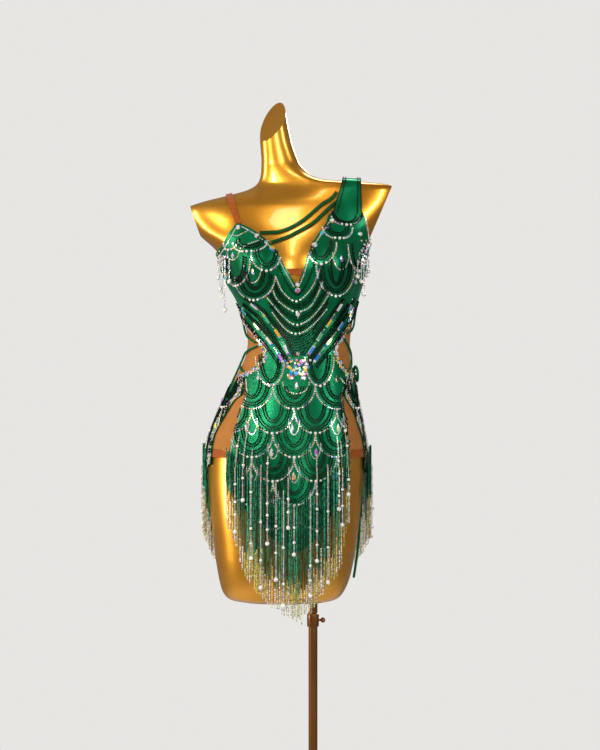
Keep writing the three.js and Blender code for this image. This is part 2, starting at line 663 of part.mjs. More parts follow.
// ---- the tie at the left hip: a loop, its knot and the free tail ----
const TIE_RADIUS = 2.6;
const TIE_KNOT = new THREE.Vector3(82, -4, 1112);
const TIE_LOOP = [
  [82, -10.5, 1117], [84, -15, 1123], [87, -19, 1120], [89, -20, 1111], [89, -19, 1100], [88, -15, 1094],
  [86, -11, 1099], [85, -9.5, 1105],
];
const TIE_TAIL = [
  { angle: 100, z: 1110, out: 9.4 }, { angle: 106, z: 1100, out: 9.4 }, { angle: 110, z: 1080, out: 9.4 },
  { angle: 112, z: 1040, out: 9.4 }, { angle: 112, z: 985, out: 9.9 }, { angle: 111, z: 925, out: 9.9 },
  { angle: 111, z: 870, out: 9.6 }, { angle: 111, z: 815, out: 12 }, { angle: 111, z: 760, out: 16 },
  { angle: 111, z: 703, out: 19 },
];

function hipTie() {
  const loop = TIE_LOOP.map(([x, y, z]) => new THREE.Vector3(x, y, z));
  const tail = TIE_TAIL.map(({ angle, z, out }) => liftedFrom(onForm(angle, z), out));
  const knot = new THREE.Mesh(new THREE.SphereGeometry(5, 12, 8), binding);
  knot.name = "hip_tie_knot";
  knot.position.copy(TIE_KNOT);
  knot.scale.set(0.8, 1.1, 0.8);
  return [
    knot,
    roundCord("hip_tie_loop", binding, loop, TIE_RADIUS, 14),
    roundCord("hip_tie_tail", binding, tail, TIE_RADIUS, 32),
  ];
}

// ---- fringes and drops: the plain space that hanging strings of beads take ----
// A curtain that hangs straight down. hangLevel is the height whose section of the form its foot stands off.
function curtain(name, material, strings, columns, hangLevel) {
  const angleOf = ({ x, angle }) => angle ?? frontAngle(x, hangLevel);
  const high = resample(strings.map((string) => [angleOf(string), string.top]), columns);
  const low = resample(strings.map((string) => [angleOf(string), string.bottom]), columns);
  const out = resample(strings.map((string) => [angleOf(string), string.out]), columns);
  const rows = 3;
  const face = (thick) => Array.from({ length: rows + 1 }, (_, i) =>
    high.map(([angle, z], j) => {
      const foot = liftedFrom(onForm(angle, hangLevel), out[j][1] + thick);
      return foot.setZ(lerp(low[j][1], z, i / rows));
    }));
  return wall(name, material, face(0), face(FRINGE_THICK));
}

function fringes() {
  const hips = 925;
  const bust = 1322;
  return [
    curtain("fringe_front", beadStrings, [
      { x: -163, top: 958, bottom: 800, out: 7.5 }, { x: -143, top: 930, bottom: 740, out: 7.5 },
      { x: -105, top: 892, bottom: 662, out: 7.5 }, { x: -64, top: 858, bottom: 626, out: 7.5 },
      { x: -26, top: 846, bottom: 612, out: 7.5 }, { x: 6, top: 872, bottom: 642, out: 7.5 },
      { x: 34, top: 918, bottom: 700, out: 7.5 }, { x: 66, top: 960, bottom: 806, out: 7.5 },
    ], 18, hips),
    curtain("fringe_back", beadStrings, [
      { angle: -78, top: 968, bottom: 800, out: 7.5 }, { angle: -104, top: 948, bottom: 755, out: 7.5 },
      { angle: -130, top: 920, bottom: 700, out: 7.5 }, { angle: -158, top: 880, bottom: 645, out: 7.5 },
      { angle: -182, top: 858, bottom: 614, out: 8 }, { angle: -206, top: 880, bottom: 650, out: 9 },
      { angle: -230, top: 920, bottom: 705, out: 12.6 }, { angle: -254, top: 948, bottom: 755, out: 12.8 },
      { angle: -276, top: 962, bottom: 792, out: 11 },
    ], 22, hips),
    curtain("bust_drops_right", crystalStrings, [
      { angle: -78, top: 1328, bottom: 1272, out: 9 }, { angle: -66, top: 1330, bottom: 1236, out: 9 },
      { angle: -53, top: 1330, bottom: 1268, out: 9 },
    ], 4, bust),
    curtain("bust_drops_left", crystalStrings, [
      { angle: 56, top: 1330, bottom: 1288, out: 9 }, { angle: 70, top: 1330, bottom: 1262, out: 9 },
      { angle: 84, top: 1330, bottom: 1306, out: 9 },
    ], 4, bust),
  ];
}

const dress = new THREE.Group();
dress.name = "salsa_dress_on_display_form";
dress.add(
  displayForm(),
  ...stand(),
  ...slip(),
  ...cups(),
  midriff(),
  backBand(),
  ...skirt(),
  ...straps(),
  ...chestCords(),
  ...sideCords(),
  ...hipTie(),
  ...fringes(),
);

export default dress;
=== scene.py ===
"""A salsa dance dress on its limbless gold display form.

The dress is a nude net slip under emerald satin panels, dressed with chains of stones laid as fish
scales, rows of dark beads, pearls and long bead fringes. All lengths are millimetres until a mesh is
made, +Z is up, the origin is on the floor at the pole's axis and -Y is the front of the dress.
"""

from __future__ import annotations

import logging
from dataclasses import dataclass, field
from enum import Enum
from typing import Callable, Sequence

import bmesh
import bpy
import numpy as np
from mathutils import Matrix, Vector

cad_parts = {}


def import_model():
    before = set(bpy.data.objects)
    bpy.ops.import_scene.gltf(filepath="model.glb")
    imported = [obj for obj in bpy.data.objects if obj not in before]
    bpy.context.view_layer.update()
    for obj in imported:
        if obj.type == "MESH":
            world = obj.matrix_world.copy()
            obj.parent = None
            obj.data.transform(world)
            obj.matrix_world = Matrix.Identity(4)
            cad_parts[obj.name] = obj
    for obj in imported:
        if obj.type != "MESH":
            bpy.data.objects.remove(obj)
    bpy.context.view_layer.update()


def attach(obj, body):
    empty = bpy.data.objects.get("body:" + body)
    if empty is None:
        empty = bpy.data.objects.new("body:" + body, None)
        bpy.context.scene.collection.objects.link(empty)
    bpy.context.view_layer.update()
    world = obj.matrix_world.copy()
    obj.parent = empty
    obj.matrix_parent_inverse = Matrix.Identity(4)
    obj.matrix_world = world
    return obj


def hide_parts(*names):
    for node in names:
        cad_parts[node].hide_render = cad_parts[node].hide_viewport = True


Array = np.ndarray
Table = Sequence[Sequence[float]]
MM = 0.001
BODY = "root"
LOG = logging.getLogger("salsa_dress")


class By(Enum):
    """How an outline point says where it is: by x on the front, or by the angle round the form."""

    X = "x"
    X_ROUND = "x, one whole turn back"
    ANGLE = "angle"


X, XR, A = By.X, By.X_ROUND, By.ANGLE


# ---- the form's surface, which every piece of cloth follows ----
@dataclass
class FormShape:
    """The display form as level sections, each half an oval to the front and half to the back.

    Attributes:
        levels: Height, leftmost x, rightmost x, front depth and back depth of each level section.
        cups: Middle x and z, lift, width and height of each cup's swell.
        power: How square a section is, where 2 is an ellipse.
        sample: Distance between two heights at which the sections are kept.
        neck: Heights between which a crest is looked for.
        halvings: How many times that search halves the gap.
        columns: The four measures at every sampled height.
        heights: The sampled heights.
    """

    levels: Table = (
        (652, -130, 16, 45, 46), (656, -160, 40, 72, 74), (664, -174, 54, 84, 87), (680, -183, 65, 93, 98),
        (706, -189, 75, 100, 106), (735, -194, 81, 104, 111), (770, -198, 87, 107, 115),
        (838, -206, 95, 111, 122), (906, -210, 101, 113, 129), (940, -209, 102, 113, 130),
        (970, -204, 99, 112, 127), (1000, -195, 93, 110, 121), (1030, -183, 88, 106, 112),
        (1060, -170, 83, 101, 103), (1090, -157, 79, 95, 94), (1120, -142, 74, 89, 87),
        (1145, -131, 71, 85, 83), (1175, -127, 71, 83, 80), (1205, -132, 75, 85, 82),
        (1235, -139, 80, 90, 87), (1265, -152, 87, 96, 92), (1290, -168, 95, 100, 95),
        (1315, -179, 100, 101, 97), (1340, -184, 103, 98, 97), (1360, -197, 108, 92, 95),
        (1380, -223, 116, 86, 92), (1404, -241, 131, 78, 88), (1428, -252, 146, 69, 83),
        (1440, -250, 153, 64, 80), (1452, -220, 159, 58, 77), (1464, -172, 163, 53, 74),
        (1476, -130, 165, 48, 70), (1484, -118, 161, 44, 66), (1488, -115, 144, 42, 64),
        (1491, -113, 104, 40, 62), (1495, -111, 26, 38, 59), (1504, -106, -8, 34, 53),
        (1516, -104, -20, 30, 48), (1530, -103, -28, 28, 44), (1580, -106, -45, 29, 37),
        (1680, -103, -62, 31, 33),
    )
    cups: Table = ((-128, 1326, 34, 36, 36), (46, 1328, 34, 36, 36))
    power: float = 2.2
    sample: float = 0.5
    neck: tuple[float, float] = (1440.0, 1680.0)
    halvings: int = 40
    columns: Array = field(init=False)
    heights: Array = field(init=False)

    def __post_init__(self) -> None:
        """Samples each column finely: a cubic curve through the levels, then smoothed by a bell curve."""
        table = np.array(self.levels, float)
        z, values = table[:, 0], table[:, 1:]
        steps = np.diff(values, axis=0) / np.diff(z)[:, None]
        before, after = steps[:-1], steps[1:]
        turn = before * after
        middle = np.where(turn > 0, 2 * turn / np.where(turn > 0, before + after, 1), 0)
        slopes = np.vstack([steps[:1], middle, steps[-1:]])
        self.heights = np.arange(z[0], z[-1] + self.sample / 2, self.sample)
        i = np.clip(np.searchsorted(z, self.heights) - 1, 0, len(z) - 2)
        span = (z[i + 1] - z[i])[:, None]
        t = (self.heights - z[i])[:, None] / span
        u = 1 - t
        raw = values[i] * u * u * (1 + 2 * t) + values[i + 1] * t * t * (3 - 2 * t)
        raw += (slopes[i] * t * u * u - slopes[i + 1] * t * t * u) * span
        soft, crisp = (self.smoothed(raw, width) for width in (9.0, 1.6))
        share = np.clip((1430 - self.heights) / 40, 0, 1) * np.clip((self.heights - 690) / 40, 0, 1)
        self.columns = crisp + (soft - crisp) * share[:, None]

    def smoothed(self, values: Array, width: float) -> Array:
        """Each column averaged over a bell curve of that width in millimetres.

        Args:
            values: One column for each measure.
            width: The bell curve's width.

        Returns:
            The smoothed columns.
        """
        reach = int(3 * width / self.sample)
        bell = np.exp(-0.5 * (np.arange(-reach, reach + 1) * self.sample / width) ** 2)
        padded = np.pad(values, ((reach, reach), (0, 0)), "edge")
        return np.stack([np.convolve(c, bell / bell.sum(), "valid") for c in padded.T], axis=1)

    def section(self, z: Array) -> tuple[Array, Array, Array, Array]:
        """Middle x, half width, front depth and back depth of the sections at z."""
        left, right, front, back = (np.interp(z, self.heights, c) for c in self.columns.T)
        return (left + right) / 2, (right - left) / 2, front, back

    def swell(self, x: Array, z: Array, across: Array) -> Array:
        """How far the cups stand out: bell-shaped hills that fade out at the sides.

        Args:
            x: Distance to the right of the pole, in millimetres.
            z: Height, in millimetres.
            across: Share of the half width that x is from the middle.

        Returns:
            The distance that they stand out.
        """
        fade = np.clip(1 - across**4, 0, None)
        hills = [
            lift * np.exp(-(((x - cx) / w) ** 2 + ((z - cz) / h) ** 2) / 2) for cx, cz, lift, w,
            h in self.cups
        ]
        return fade * sum(hills)

    def depth(self, p: Array) -> Array:
        """Zero on the surface and below zero inside: the sum of the two powered shares, less one.

        Args:
            p: Points, with x, y and z last.

        Returns:
            The sum for each point.
        """
        x, y, z = p[..., 0], p[..., 1], p[..., 2]
        middle, half, front, back = self.section(z)
        across = (x - middle) / half
        deep = np.where(y < 0, np.clip(-y - self.swell(x, z, across), 0, None) / front, y / back)
        return np.abs(across) ** self.power + deep**self.power - 1

    def out(self, p: Array) -> Array:
        """The unit direction straight out of the surface at each point, from the slope of depth.

        Args:
            p: Points, with x, y and z last.

        Returns:
            The unit directions.
        """
        h = 1.2
        moves = np.eye(3) * h
        slope = np.stack([self.depth(p + m) - self.depth(p - m) for m in moves], axis=-1)
        return slope / np.linalg.norm(slope, axis=-1, keepdims=True)

    def at(self, angle: Array, z: Array, lift: Array | float = 0.0) -> Array:
        """Points at angles round the form (0 front, 90 right, 180 back), moved straight out by lift.

        Args:
            angle: Angle round the form, 0 at the front.
            z: Height, in millimetres.
            lift: Distance off the surface.

        Returns:
            The points.
        """
        angle, z = np.broadcast_arrays(np.asarray(angle, float), np.asarray(z, float))
        sine, cosine = np.sin(np.radians(angle)), np.cos(np.radians(angle))
        middle, half, front, back = self.section(z)
        across = np.sign(sine) * np.abs(sine) ** (2 / self.power)
        deep = np.abs(cosine) ** (2 / self.power)
        x = middle + half * across
        y = np.where(cosine > 0, -front * deep - self.swell(x, z, across), back * deep)
        p = np.stack([x, y, z], axis=-1)
        return p + self.out(p) * np.asarray(lift, float)[..., None]

    def angle(self, x: Array, z: Array) -> Array:
        """The angle round the front at which the surface is at x.

        Args:
            x: Distance to the right of the pole, in millimetres.
            z: Height, in millimetres.

        Returns:
            The angles in degrees.
        """
        middle, half, _, _ = self.section(z)
        across = np.clip((x - middle) / half, -1, 1)
        return np.degrees(np.arcsin(np.sign(across) * np.abs(across) ** (self.power / 2)))

    def marks(self, points: Sequence[tuple[By, float, float]]) -> Array:
        """Outline points as rows of angle and height.

        Args:
            points: For each point, what its first number is, that number and its height.

        Returns:
            One row for each point.
        """
        turns = {X: 0.0, XR: -360.0}
        rows = [(v if by is A else float(self.angle(v, z)) + turns[by], z) for by, v, z in points]
        return np.array(rows, float)

    def crest(self, x: Array) -> Array:
        """The highest level at which the form still reaches out to x, found by halving.

        Args:
            x: Distance to the right of the pole, in millimetres.

        Returns:
            The level for each x.
        """
        low, high = (np.full(np.shape(x), z) for z in self.neck)
        for _ in range(self.halvings):
            z = (low + high) / 2
            middle, half, _, _ = self.section(z)
            inside = np.abs(x - middle) < half
            low, high = np.where(inside, z, low), np.where(inside, high, z)
        return low


FORM = FormShape()


# ---- curves and grids ----
def catmull(points: Array, where: int | Array) -> Array:
    """Points on the smooth curve through points; where is how many steps, or the shares from 0 to 1.

    Each stretch is the cubic whose end slopes are half the step between the neighbouring points.

    Args:
        points: The points that it goes through.
        where: How many steps, or the shares from 0 to 1.

    Returns:
        The points on the curve.
    """
    points = np.asarray(points, float)
    last = len(points) - 1
    t = np.linspace(0, last, where + 1) if isinstance(where, int) else np.asarray(where) * last
    i = np.minimum(t.astype(int), last - 1)
    f = (t - i)[:, None]
    p0, p1 = points[np.maximum(i - 1, 0)], points[i]
    p2, p3 = points[i + 1], points[np.minimum(i + 2, last)]
    v0, v1 = (p2 - p0) / 2, (p3 - p1) / 2
    return (2 * p1 - 2 * p2 + v0 + v1) * f**3 + (3 * p2 - 3 * p1 - 2 * v0 - v1) * f**2 + v0 * f + p1


def straight(start: Array, end: Array, count: int) -> Array:
    """count + 1 points evenly spaced on a straight line."""
    return np.linspace(start, end, count + 1)


def coons(bottom: Array, top: Array, left: Array, right: Array) -> Array:
    """The grid inside four edges: the two rulings added, less the plane through the corners.

    Args:
        bottom: Points of the lower edge.
        top: Points of the upper edge.
        left: Points of the left edge.
        right: Points of the right edge.

    Returns:
        The grid, rows going up.
    """
    t = np.linspace(0, 1, len(left))[:, None, None]
    s = np.linspace(0, 1, len(bottom))[None, :, None]
    ruled = bottom[None] * (1 - t) + top[None] * t + left[:, None] * (1 - s) + right[:, None] * s
    low = bottom[0] * (1 - s) + bottom[-1] * s
    high = top[0] * (1 - s) + top[-1] * s
    return ruled - low * (1 - t) - high * t


def spaced(line: Array, pitch: float, slack: float = 0.0) -> tuple[Array, Array]:
    """Points every pitch along a line, and the line's direction at each.

    Args:
        line: Points of the line, close together.
        pitch: Wanted distance between two points; it's eased so that a whole number fits.
        slack: Length left free at both ends.

    Returns:
        The points and the unit directions.
    """
    steps = np.linalg.norm(np.diff(line, axis=0), axis=1)
    run = np.concatenate([[0], np.cumsum(steps)])
    count = max(int(round((run[-1] - 2 * slack) / pitch)), 1)
    where = np.linspace(slack, run[-1] - slack, count + 1)
    points = np.stack([np.interp(where, run, c) for c in line.T], axis=1)
    ahead = np.stack([np.interp(where + 0.5, run, c) for c in line.T], axis=1)
    behind = np.stack([np.interp(where - 0.5, run, c) for c in line.T], axis=1)
    along = ahead - behind
    return points, along / np.maximum(np.linalg.norm(along, axis=1, keepdims=True), 1e-9)


def inside(points: Array, outline: Array) -> Array:
    """Which points lie in a closed outline, by counting its crossings to the right of each.

    Args:
        points: Points to test, as rows of two numbers.
        outline: A closed outline, as rows of two numbers.

    Returns:
        True for each point that lies in it.
    """
    x, y = points[:, 0:1], points[:, 1:2]
    ax, ay = outline[:, 0], outline[:, 1]
    bx, by = np.roll(ax, -1), np.roll(ay, -1)
    spans = (ay > y) != (by > y)
    cross = ax + (y - ay) * (bx - ax) / np.where(by == ay, 1e-9, by - ay)
    return (np.sum(spans & (x < cross), axis=1) % 2).astype(bool)


def clipped(marks: Array, outlines: Sequence[Array]) -> Array:
    """The part of a line that lies in one of the outlines.

    Args:
        marks: The line, as rows of angle and height.
        outlines: Closed outlines; with none the whole line is kept.

    Returns:
        The rows that are kept.
    """
    if not outlines:
        return marks
    return marks[np.any([inside(marks, shape) for shape in outlines], axis=0)]


# ---- meshes ----
@dataclass
class Solid:
    """Points in millimetres and faces, as one array of point numbers for each number of sides."""

    points: Array
    faces: list[Array]
    tints: Array | None = None


def grid_faces(rows: int, columns: int, closed: bool = False) -> Array:
    """The four-sided faces of a grid of points; closed joins the last column to the first.

    Args:
        rows: Number of rows of points.
        columns: Number of columns of points.
        closed: Whether the last column joins the first.

    Returns:
        The faces, as rows of four point numbers.
    """
    i = np.arange(rows - 1)[:, None]
    j = np.arange(columns if closed else columns - 1)[None]
    k = (j + 1) % columns
    low, high = i * columns, (i + 1) * columns
    return np.stack([low + j, low + k, high + k, high + j], axis=-1).reshape(-1, 4)


def shell(inner: Array, outer: Array, closed: bool = False) -> Solid:
    """The closed wall between two like grids: both faces, and the rim that joins their edges.

    Args:
        inner: Grid of the inner face.
        outer: Grid of the outer face.
        closed: Whether the last column joins the first.

    Returns:
        The wall.
    """
    rows, columns = outer.shape[:2]
    skin = grid_faces(rows, columns, closed)
    offset = rows * columns
    faces = [skin + offset, skin[:, ::-1]]
    j = np.arange(columns if closed else columns - 1)
    k = (j + 1) % columns
    for row, flip in ((0, False), (rows - 1, True)):
        near, far = row * columns + j, row * columns + k
        rim = np.stack([near, far, offset + far, offset + near], 1)
        faces.append(rim[:, ::-1] if flip else rim)
    if not closed:
        i = np.arange(rows - 1)
        for column, flip in ((0, True), (columns - 1, False)):
            low, high = i * columns + column, (i + 1) * columns + column
            rim = np.stack([low, high, offset + high, offset + low], 1)
            faces.append(rim[:, ::-1] if flip else rim)
    return Solid(np.vstack([inner.reshape(-1, 3), outer.reshape(-1, 3)]), [np.vstack(faces)])


def tied_off(rings: Array, first: Array, last: Array) -> Solid:
    """Rings joined into a tube that a fan about one point closes at each end.

    Args:
        rings: The rings of points, each joined round.
        first: The point that closes the first ring.
        last: The point that closes the last ring.

    Returns:
        The closed solid.
    """
    rows, sides = rings.shape[:2]
    j = np.arange(sides)
    k = (j + 1) % sides
    start, top = rows * sides, (rows - 1) * sides
    under = np.stack([np.full(sides, start), k, j], 1)
    over = np.stack([np.full(sides, start + 1), top + j, top + k], 1)
    points = np.vstack([rings.reshape(-1, 3), first, last])
    return Solid(points, [grid_faces(rows, sides, True), np.vstack([under, over])])


def tube(
    line: Array,
    outs: Array,
    wide: Array | float,
    thick: Array | float,
    sides: int = 12,
    power: float = 2.0,
) -> Solid:
    """An oval profile carried along a line, its thickness pointing out, with closed round ends.

    The profile is x = wide/2 * |cos|^(2/power), y = thick/2 * |sin|^(2/power) with their signs kept.

    Args:
        line: Points of the line, close together.
        outs: The outward direction at each point.
        wide: Width, one or for each point.
        thick: Thickness, one or for each point.
        sides: Number of sides round it.
        power: How square the profile is, where 2 is an ellipse.

    Returns:
        The tube.
    """
    along = np.gradient(line, axis=0)
    along /= np.linalg.norm(along, axis=1, keepdims=True)
    side = np.cross(along, outs)
    side /= np.linalg.norm(side, axis=1, keepdims=True)
    up = np.cross(side, along)
    turn = np.arange(sides) * 2 * np.pi / sides
    c, s = np.cos(turn), np.sin(turn)
    px = np.sign(c) * np.abs(c) ** (2 / power) / 2
    py = np.sign(s) * np.abs(s) ** (2 / power) / 2
    n = len(line)
    w, h = np.broadcast_to(wide, n)[:, None, None], np.broadcast_to(thick, n)[:, None, None]
    ring = line[:, None] + side[:, None] * px[None, :, None] * w + up[:, None] * py[None, :, None] * h
    ends = [ring[:1] * 0.45 + line[:1, None] * 0.55 - along[:1, None] * np.min(thick) * 0.35]
    tips = [ring[-1:] * 0.45 + line[-1:, None] * 0.55 + along[-1:, None] * np.min(thick) * 0.35]
    rings = np.concatenate(ends + [ring] + tips)
    return tied_off(rings, rings[0].mean(0), rings[-1].mean(0))


def turned(profile: Table, sides: int, centre: Sequence[float] = (0, 0, 0)) -> Solid:
    """A profile of radius and height turned about the vertical; its ends are on the axis.

    Args:
        profile: Rows of radius and height.
        sides: Number of sides round it.
        centre: Where its axis and floor are.

    Returns:
        The turned solid.
    """
    profile = np.array(profile, float)
    body = profile[1:-1]
    turn = np.arange(sides) * 2 * np.pi / sides
    ring = np.stack([np.cos(turn), np.sin(turn)], axis=1)
    xy = body[:, 0, None, None] * ring[None]
    z = np.broadcast_to(body[:, 1, None, None], xy.shape[:2] + (1,))
    rings = np.concatenate([xy, z], axis=-1)
    solid = tied_off(rings, np.array([0, 0, profile[0, 1]]), np.array([0, 0, profile[-1, 1]]))
    solid.points += np.array(centre, float)
    return solid


def add_piece(
    name: str,
    solid: Solid,
    material: bpy.types.Material,
    replaces: Sequence[str] = (),
    sharp: float | None = None,
) -> bpy.types.Object:
    """Makes a solid a mesh object that rides with the dress, and reports it.

    Args:
        name: The piece's name.
        solid: Its shape, in millimetres.
        material: Its finish.
        replaces: The frame's nodes that it stands for.
        sharp: Edges that turn by more than this many degrees stay crisp; None makes every facet flat.

    Returns:
        The new object.
    """
    sizes = np.concatenate([np.full(len(f), f.shape[1]) for f in solid.faces])
    corners = np.concatenate([f.reshape(-1) for f in solid.faces])
    mesh = bpy.data.meshes.new(name)
    mesh.vertices.add(len(solid.points))
    mesh.vertices.foreach_set("co", (solid.points * MM).astype(np.float32).ravel())
    mesh.loops.add(len(corners))
    mesh.loops.foreach_set("vertex_index", corners.astype(np.int32))
    mesh.polygons.add(len(sizes))
    mesh.polygons.foreach_set("loop_start", np.concatenate([[0], np.cumsum(sizes)[:-1]]).astype(np.int32))
    mesh.update(calc_edges=True)
    if solid.tints is not None:
        tint = mesh.color_attributes.new("tint", "FLOAT_COLOR", "CORNER")
        rgba = np.column_stack([solid.tints, np.ones(len(solid.tints))])
        tint.data.foreach_set("color", np.repeat(rgba, sizes, axis=0).astype(np.float32).ravel())
    mesh.polygons.foreach_set("use_smooth", np.full(len(sizes), sharp is not None))
    if sharp is not None and sharp < 180:
        mesh.set_sharp_from_angle(angle=np.radians(sharp))
    mesh.materials.append(material)
    piece = bpy.data.objects.new(name, mesh)
    bpy.context.scene.collection.objects.link(piece)
    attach(piece, BODY)
    if replaces:
        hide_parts(*replaces)
    LOG.info("%s: %d points, %d faces", name, len(solid.points), len(sizes))
    return piece


# ---- finishes ----
class Shader:
    """A material's node tree, with a Principled shader whose sockets are set or linked by name."""

    def __init__(self, name: str) -> None:
        """Starts a material of that name with only its shader and output.

        Args:
            name: The material's name.
        """
        self.material = bpy.data.materials.new(name)
        self.material.use_nodes = True
        self.tree = self.material.node_tree
        self.tree.nodes.clear()
        output = self.tree.nodes.new("ShaderNodeOutputMaterial")
        self.surface = self.tree.nodes.new("ShaderNodeBsdfPrincipled")
        self.tree.links.new(self.surface.outputs[0], output.inputs[0])

    def node(
        self, kind: str, values: dict[str, object] | None = None, **settings: object,
    ) -> bpy.types.Node:
        """Adds a node, sets its properties, and sets or links each of its named inputs.

        Args:
            kind: The node's type, without its prefix.
            values: What goes to each named input.
            settings: The node's own properties.

        Returns:
            The node.
        """
        node = self.tree.nodes.new("ShaderNode" + kind)
        for key, value in settings.items():
            setattr(node, key, value)
        self.fill(node, values or {})
        return node

    def fill(self, node: bpy.types.Node, values: dict[str, object]) -> None:
        """Sets each named input, or links it where the value is another node's output.

        Args:
            node: The node to fill in.
            values: What goes to each named input.
        """
        for key, value in values.items():
            socket = node.inputs[int(key)] if key.isdigit() else node.inputs[key]
            if isinstance(value, bpy.types.NodeSocket):
                self.tree.links.new(value, socket)
            else:
                socket.default_value = value

    def place(
        self, scale: Sequence[float] = (1, 1, 1), turn: Sequence[float] = (0, 0, 0),
    ) -> bpy.types.NodeSocket:
        """The point on the object in metres, scaled and turned."""
        where = self.node("TexCoord").outputs["Object"]
        return self.node("Mapping", {"Vector": where, "Scale": scale, "Rotation": turn}).outputs[0]

    def noise(
        self, scale: float, detail: float = 3.0, where: bpy.types.NodeSocket | None = None,
    ) -> bpy.types.NodeSocket:
        """A soft random pattern from 0 to 1, with scale patches to a metre."""
        values = {"Vector": where or self.place(), "Scale": scale, "Detail": detail}
        return self.node("TexNoise", values).outputs["Fac"]

    def waves(self, scale: float, turn: Sequence[float], bands: str = "X") -> bpy.types.NodeSocket:
        """Parallel ribs with scale bands to 0.314 metres, turned as told."""
        where = self.place(turn=turn)
        return self.node("TexWave", {"Vector": where, "Scale": scale}, bands_direction=bands).outputs["Fac"]

    def ramp(
        self, factor: bpy.types.NodeSocket, low: Sequence[float], high: Sequence[float],
        start: float = 0.3, end: float = 0.7,
    ) -> bpy.types.NodeSocket:
        """A colour that runs from low to high as the factor runs from start to end.

        Args:
            factor: What picks the colour.
            low: Colour at the start.
            high: Colour at the end.
            start: Factor at which it starts.
            end: Factor at which it ends.

        Returns:
            The colour's socket.
        """
        ramp = self.node("ValToRGB", {"Fac": factor})
        ramp.color_ramp.elements[0].position, ramp.color_ramp.elements[1].position = start, end
        ramp.color_ramp.elements[0].color, ramp.color_ramp.elements[1].color = (*low, 1), (*high, 1)
        return ramp.outputs[0]

    def between(self, factor: bpy.types.NodeSocket, low: float, high: float) -> bpy.types.NodeSocket:
        """A number from low to high as the factor runs from 0 to 1."""
        return self.node("MapRange", {"Value": factor, "To Min": low, "To Max": high}).outputs[0]

    def bump(
        self, height: bpy.types.NodeSocket, strength: float, distance: float,
        under: bpy.types.NodeSocket | None = None,
    ) -> bpy.types.NodeSocket:
        """A surface direction tilted by a height pattern, distance being the relief in metres.

        Args:
            height: The height pattern.
            strength: How much it shows, 0 to 1.
            distance: The relief, in metres.
            under: A bump that this one lies on.

        Returns:
            The direction's socket.
        """
        values = {"Height": height, "Strength": strength, "Distance": distance}
        if under is not None:
            values["Normal"] = under
        return self.node("Bump", values).outputs[0]


def linear(red: int, green: int, blue: int) -> tuple[float, float, float]:
    """An 8-bit display colour as linear light."""
    c = np.array([red, green, blue]) / 255
    return tuple(np.where(c <= 0.04045, c / 12.92, ((c + 0.055) / 1.055) ** 2.4).tolist())


@dataclass(frozen=True)
class GoldLacquer:
    """High-gloss metallic gold lacquer over glass fibre, with a faint ripple and a fine dusting."""

    name: str
    bright: tuple[int, int, int] = (238, 172, 58)
    deep: tuple[int, int, int] = (214, 138, 26)
    smooth: float = 0.27

    def make(self) -> bpy.types.Material:
        """Metal whose tint drifts slowly, with roughness and a low bump from noise.

        Returns:
            The material.
        """
        s = Shader(self.name)
        drift = s.noise(5.0, 2.0)
        dust = s.noise(900.0, 2.0)
        tilt = s.bump(s.noise(26.0, 1.0), 0.10, 0.002, s.bump(dust, 0.04, 0.0002))
        s.fill(s.surface, {
            "Base Color": s.ramp(drift, linear(*self.deep), linear(*self.bright)),
            "Metallic": 0.82, "Roughness": s.between(dust, self.smooth - 0.03, self.smooth + 0.07),
            "Coat Weight": 0.5, "Coat Roughness": 0.06, "Normal": tilt,
        })
        return s.material


@dataclass(frozen=True)
class StretchSatin:
    """Shiny emerald stretch satin: bluish light on the swells, a fine twill and a little sheen."""

    name: str
    # The two greens are the satin in shade and in light: painted shade and painted light.
    deep: tuple[int, int, int] = (0, 84, 42)
    painted_lit_green: tuple[int, int, int] = (2, 124, 76)
    gloss: float = 0.26

    def make(self) -> bpy.types.Material:
        """A half-metallic weave whose twill lines bump the surface and break up its gloss; its colour is
        painted shade in the troughs of its soft ripple and painted light on the crests.

        Returns:
            The material.
        """
        s = Shader(self.name)
        twill = s.waves(900.0, (0.0, 0.75, 0.3), "Z")
        pull_and_painted_shade = s.noise(38.0, 3.0, s.place((1.0, 1.0, 0.35)))
        tilt = s.bump(twill, 0.15, 0.0003, s.bump(pull_and_painted_shade, 0.22, 0.0018))
        s.fill(s.surface, {
            # Base colour: painted shade where the soft ripple is low, painted light where it is high.
            "Base Color": s.ramp(pull_and_painted_shade, linear(*self.deep), linear(*self.painted_lit_green), 0.25, 0.8),
            "Metallic": 0.5, "Roughness": s.between(twill, self.gloss - 0.04, self.gloss + 0.08),
            "Sheen Weight": 0.25, "Sheen Roughness": 0.4, "Sheen Tint": (*linear(120, 235, 205), 1),
            "Specular Tint": (*linear(150, 255, 225), 1), "Normal": tilt,
        })
        return s.material


@dataclass(frozen=True)
class NudeKnit:
    """Matt nude stretch cloth: fine net on the slip, or a ribbed elastic on bands and straps."""

    name: str
    colour: tuple[int, int, int] = (172, 112, 46)
    shade: tuple[int, int, int] = (162, 101, 38)
    ribs: float = 2400.0

    def make(self) -> bpy.types.Material:
        """Two crossed sets of ribs make the net's bump, and noise drifts its colour.

        Returns:
            The material.
        """
        s = Shader(self.name)
        one, two = s.waves(self.ribs, (0.0, 0.0, 0.0), "Z"), s.waves(self.ribs, (0.0, 0.0, 0.78), "X")
        both = s.node("Math", {"0": one, "1": two}, operation="MULTIPLY").outputs[0]
        drift = s.noise(60.0, 4.0)
        s.fill(s.surface, {
            "Base Color": s.ramp(drift, linear(*self.shade), linear(*self.colour)),
            "Roughness": s.between(both, 0.55, 0.75), "Specular IOR Level": 0.2, "Sheen Weight": 0.08,
            "Sheen Roughness": 0.5,
            "Normal": s.bump(both, 0.4, 0.0003),
        })
        return s.material


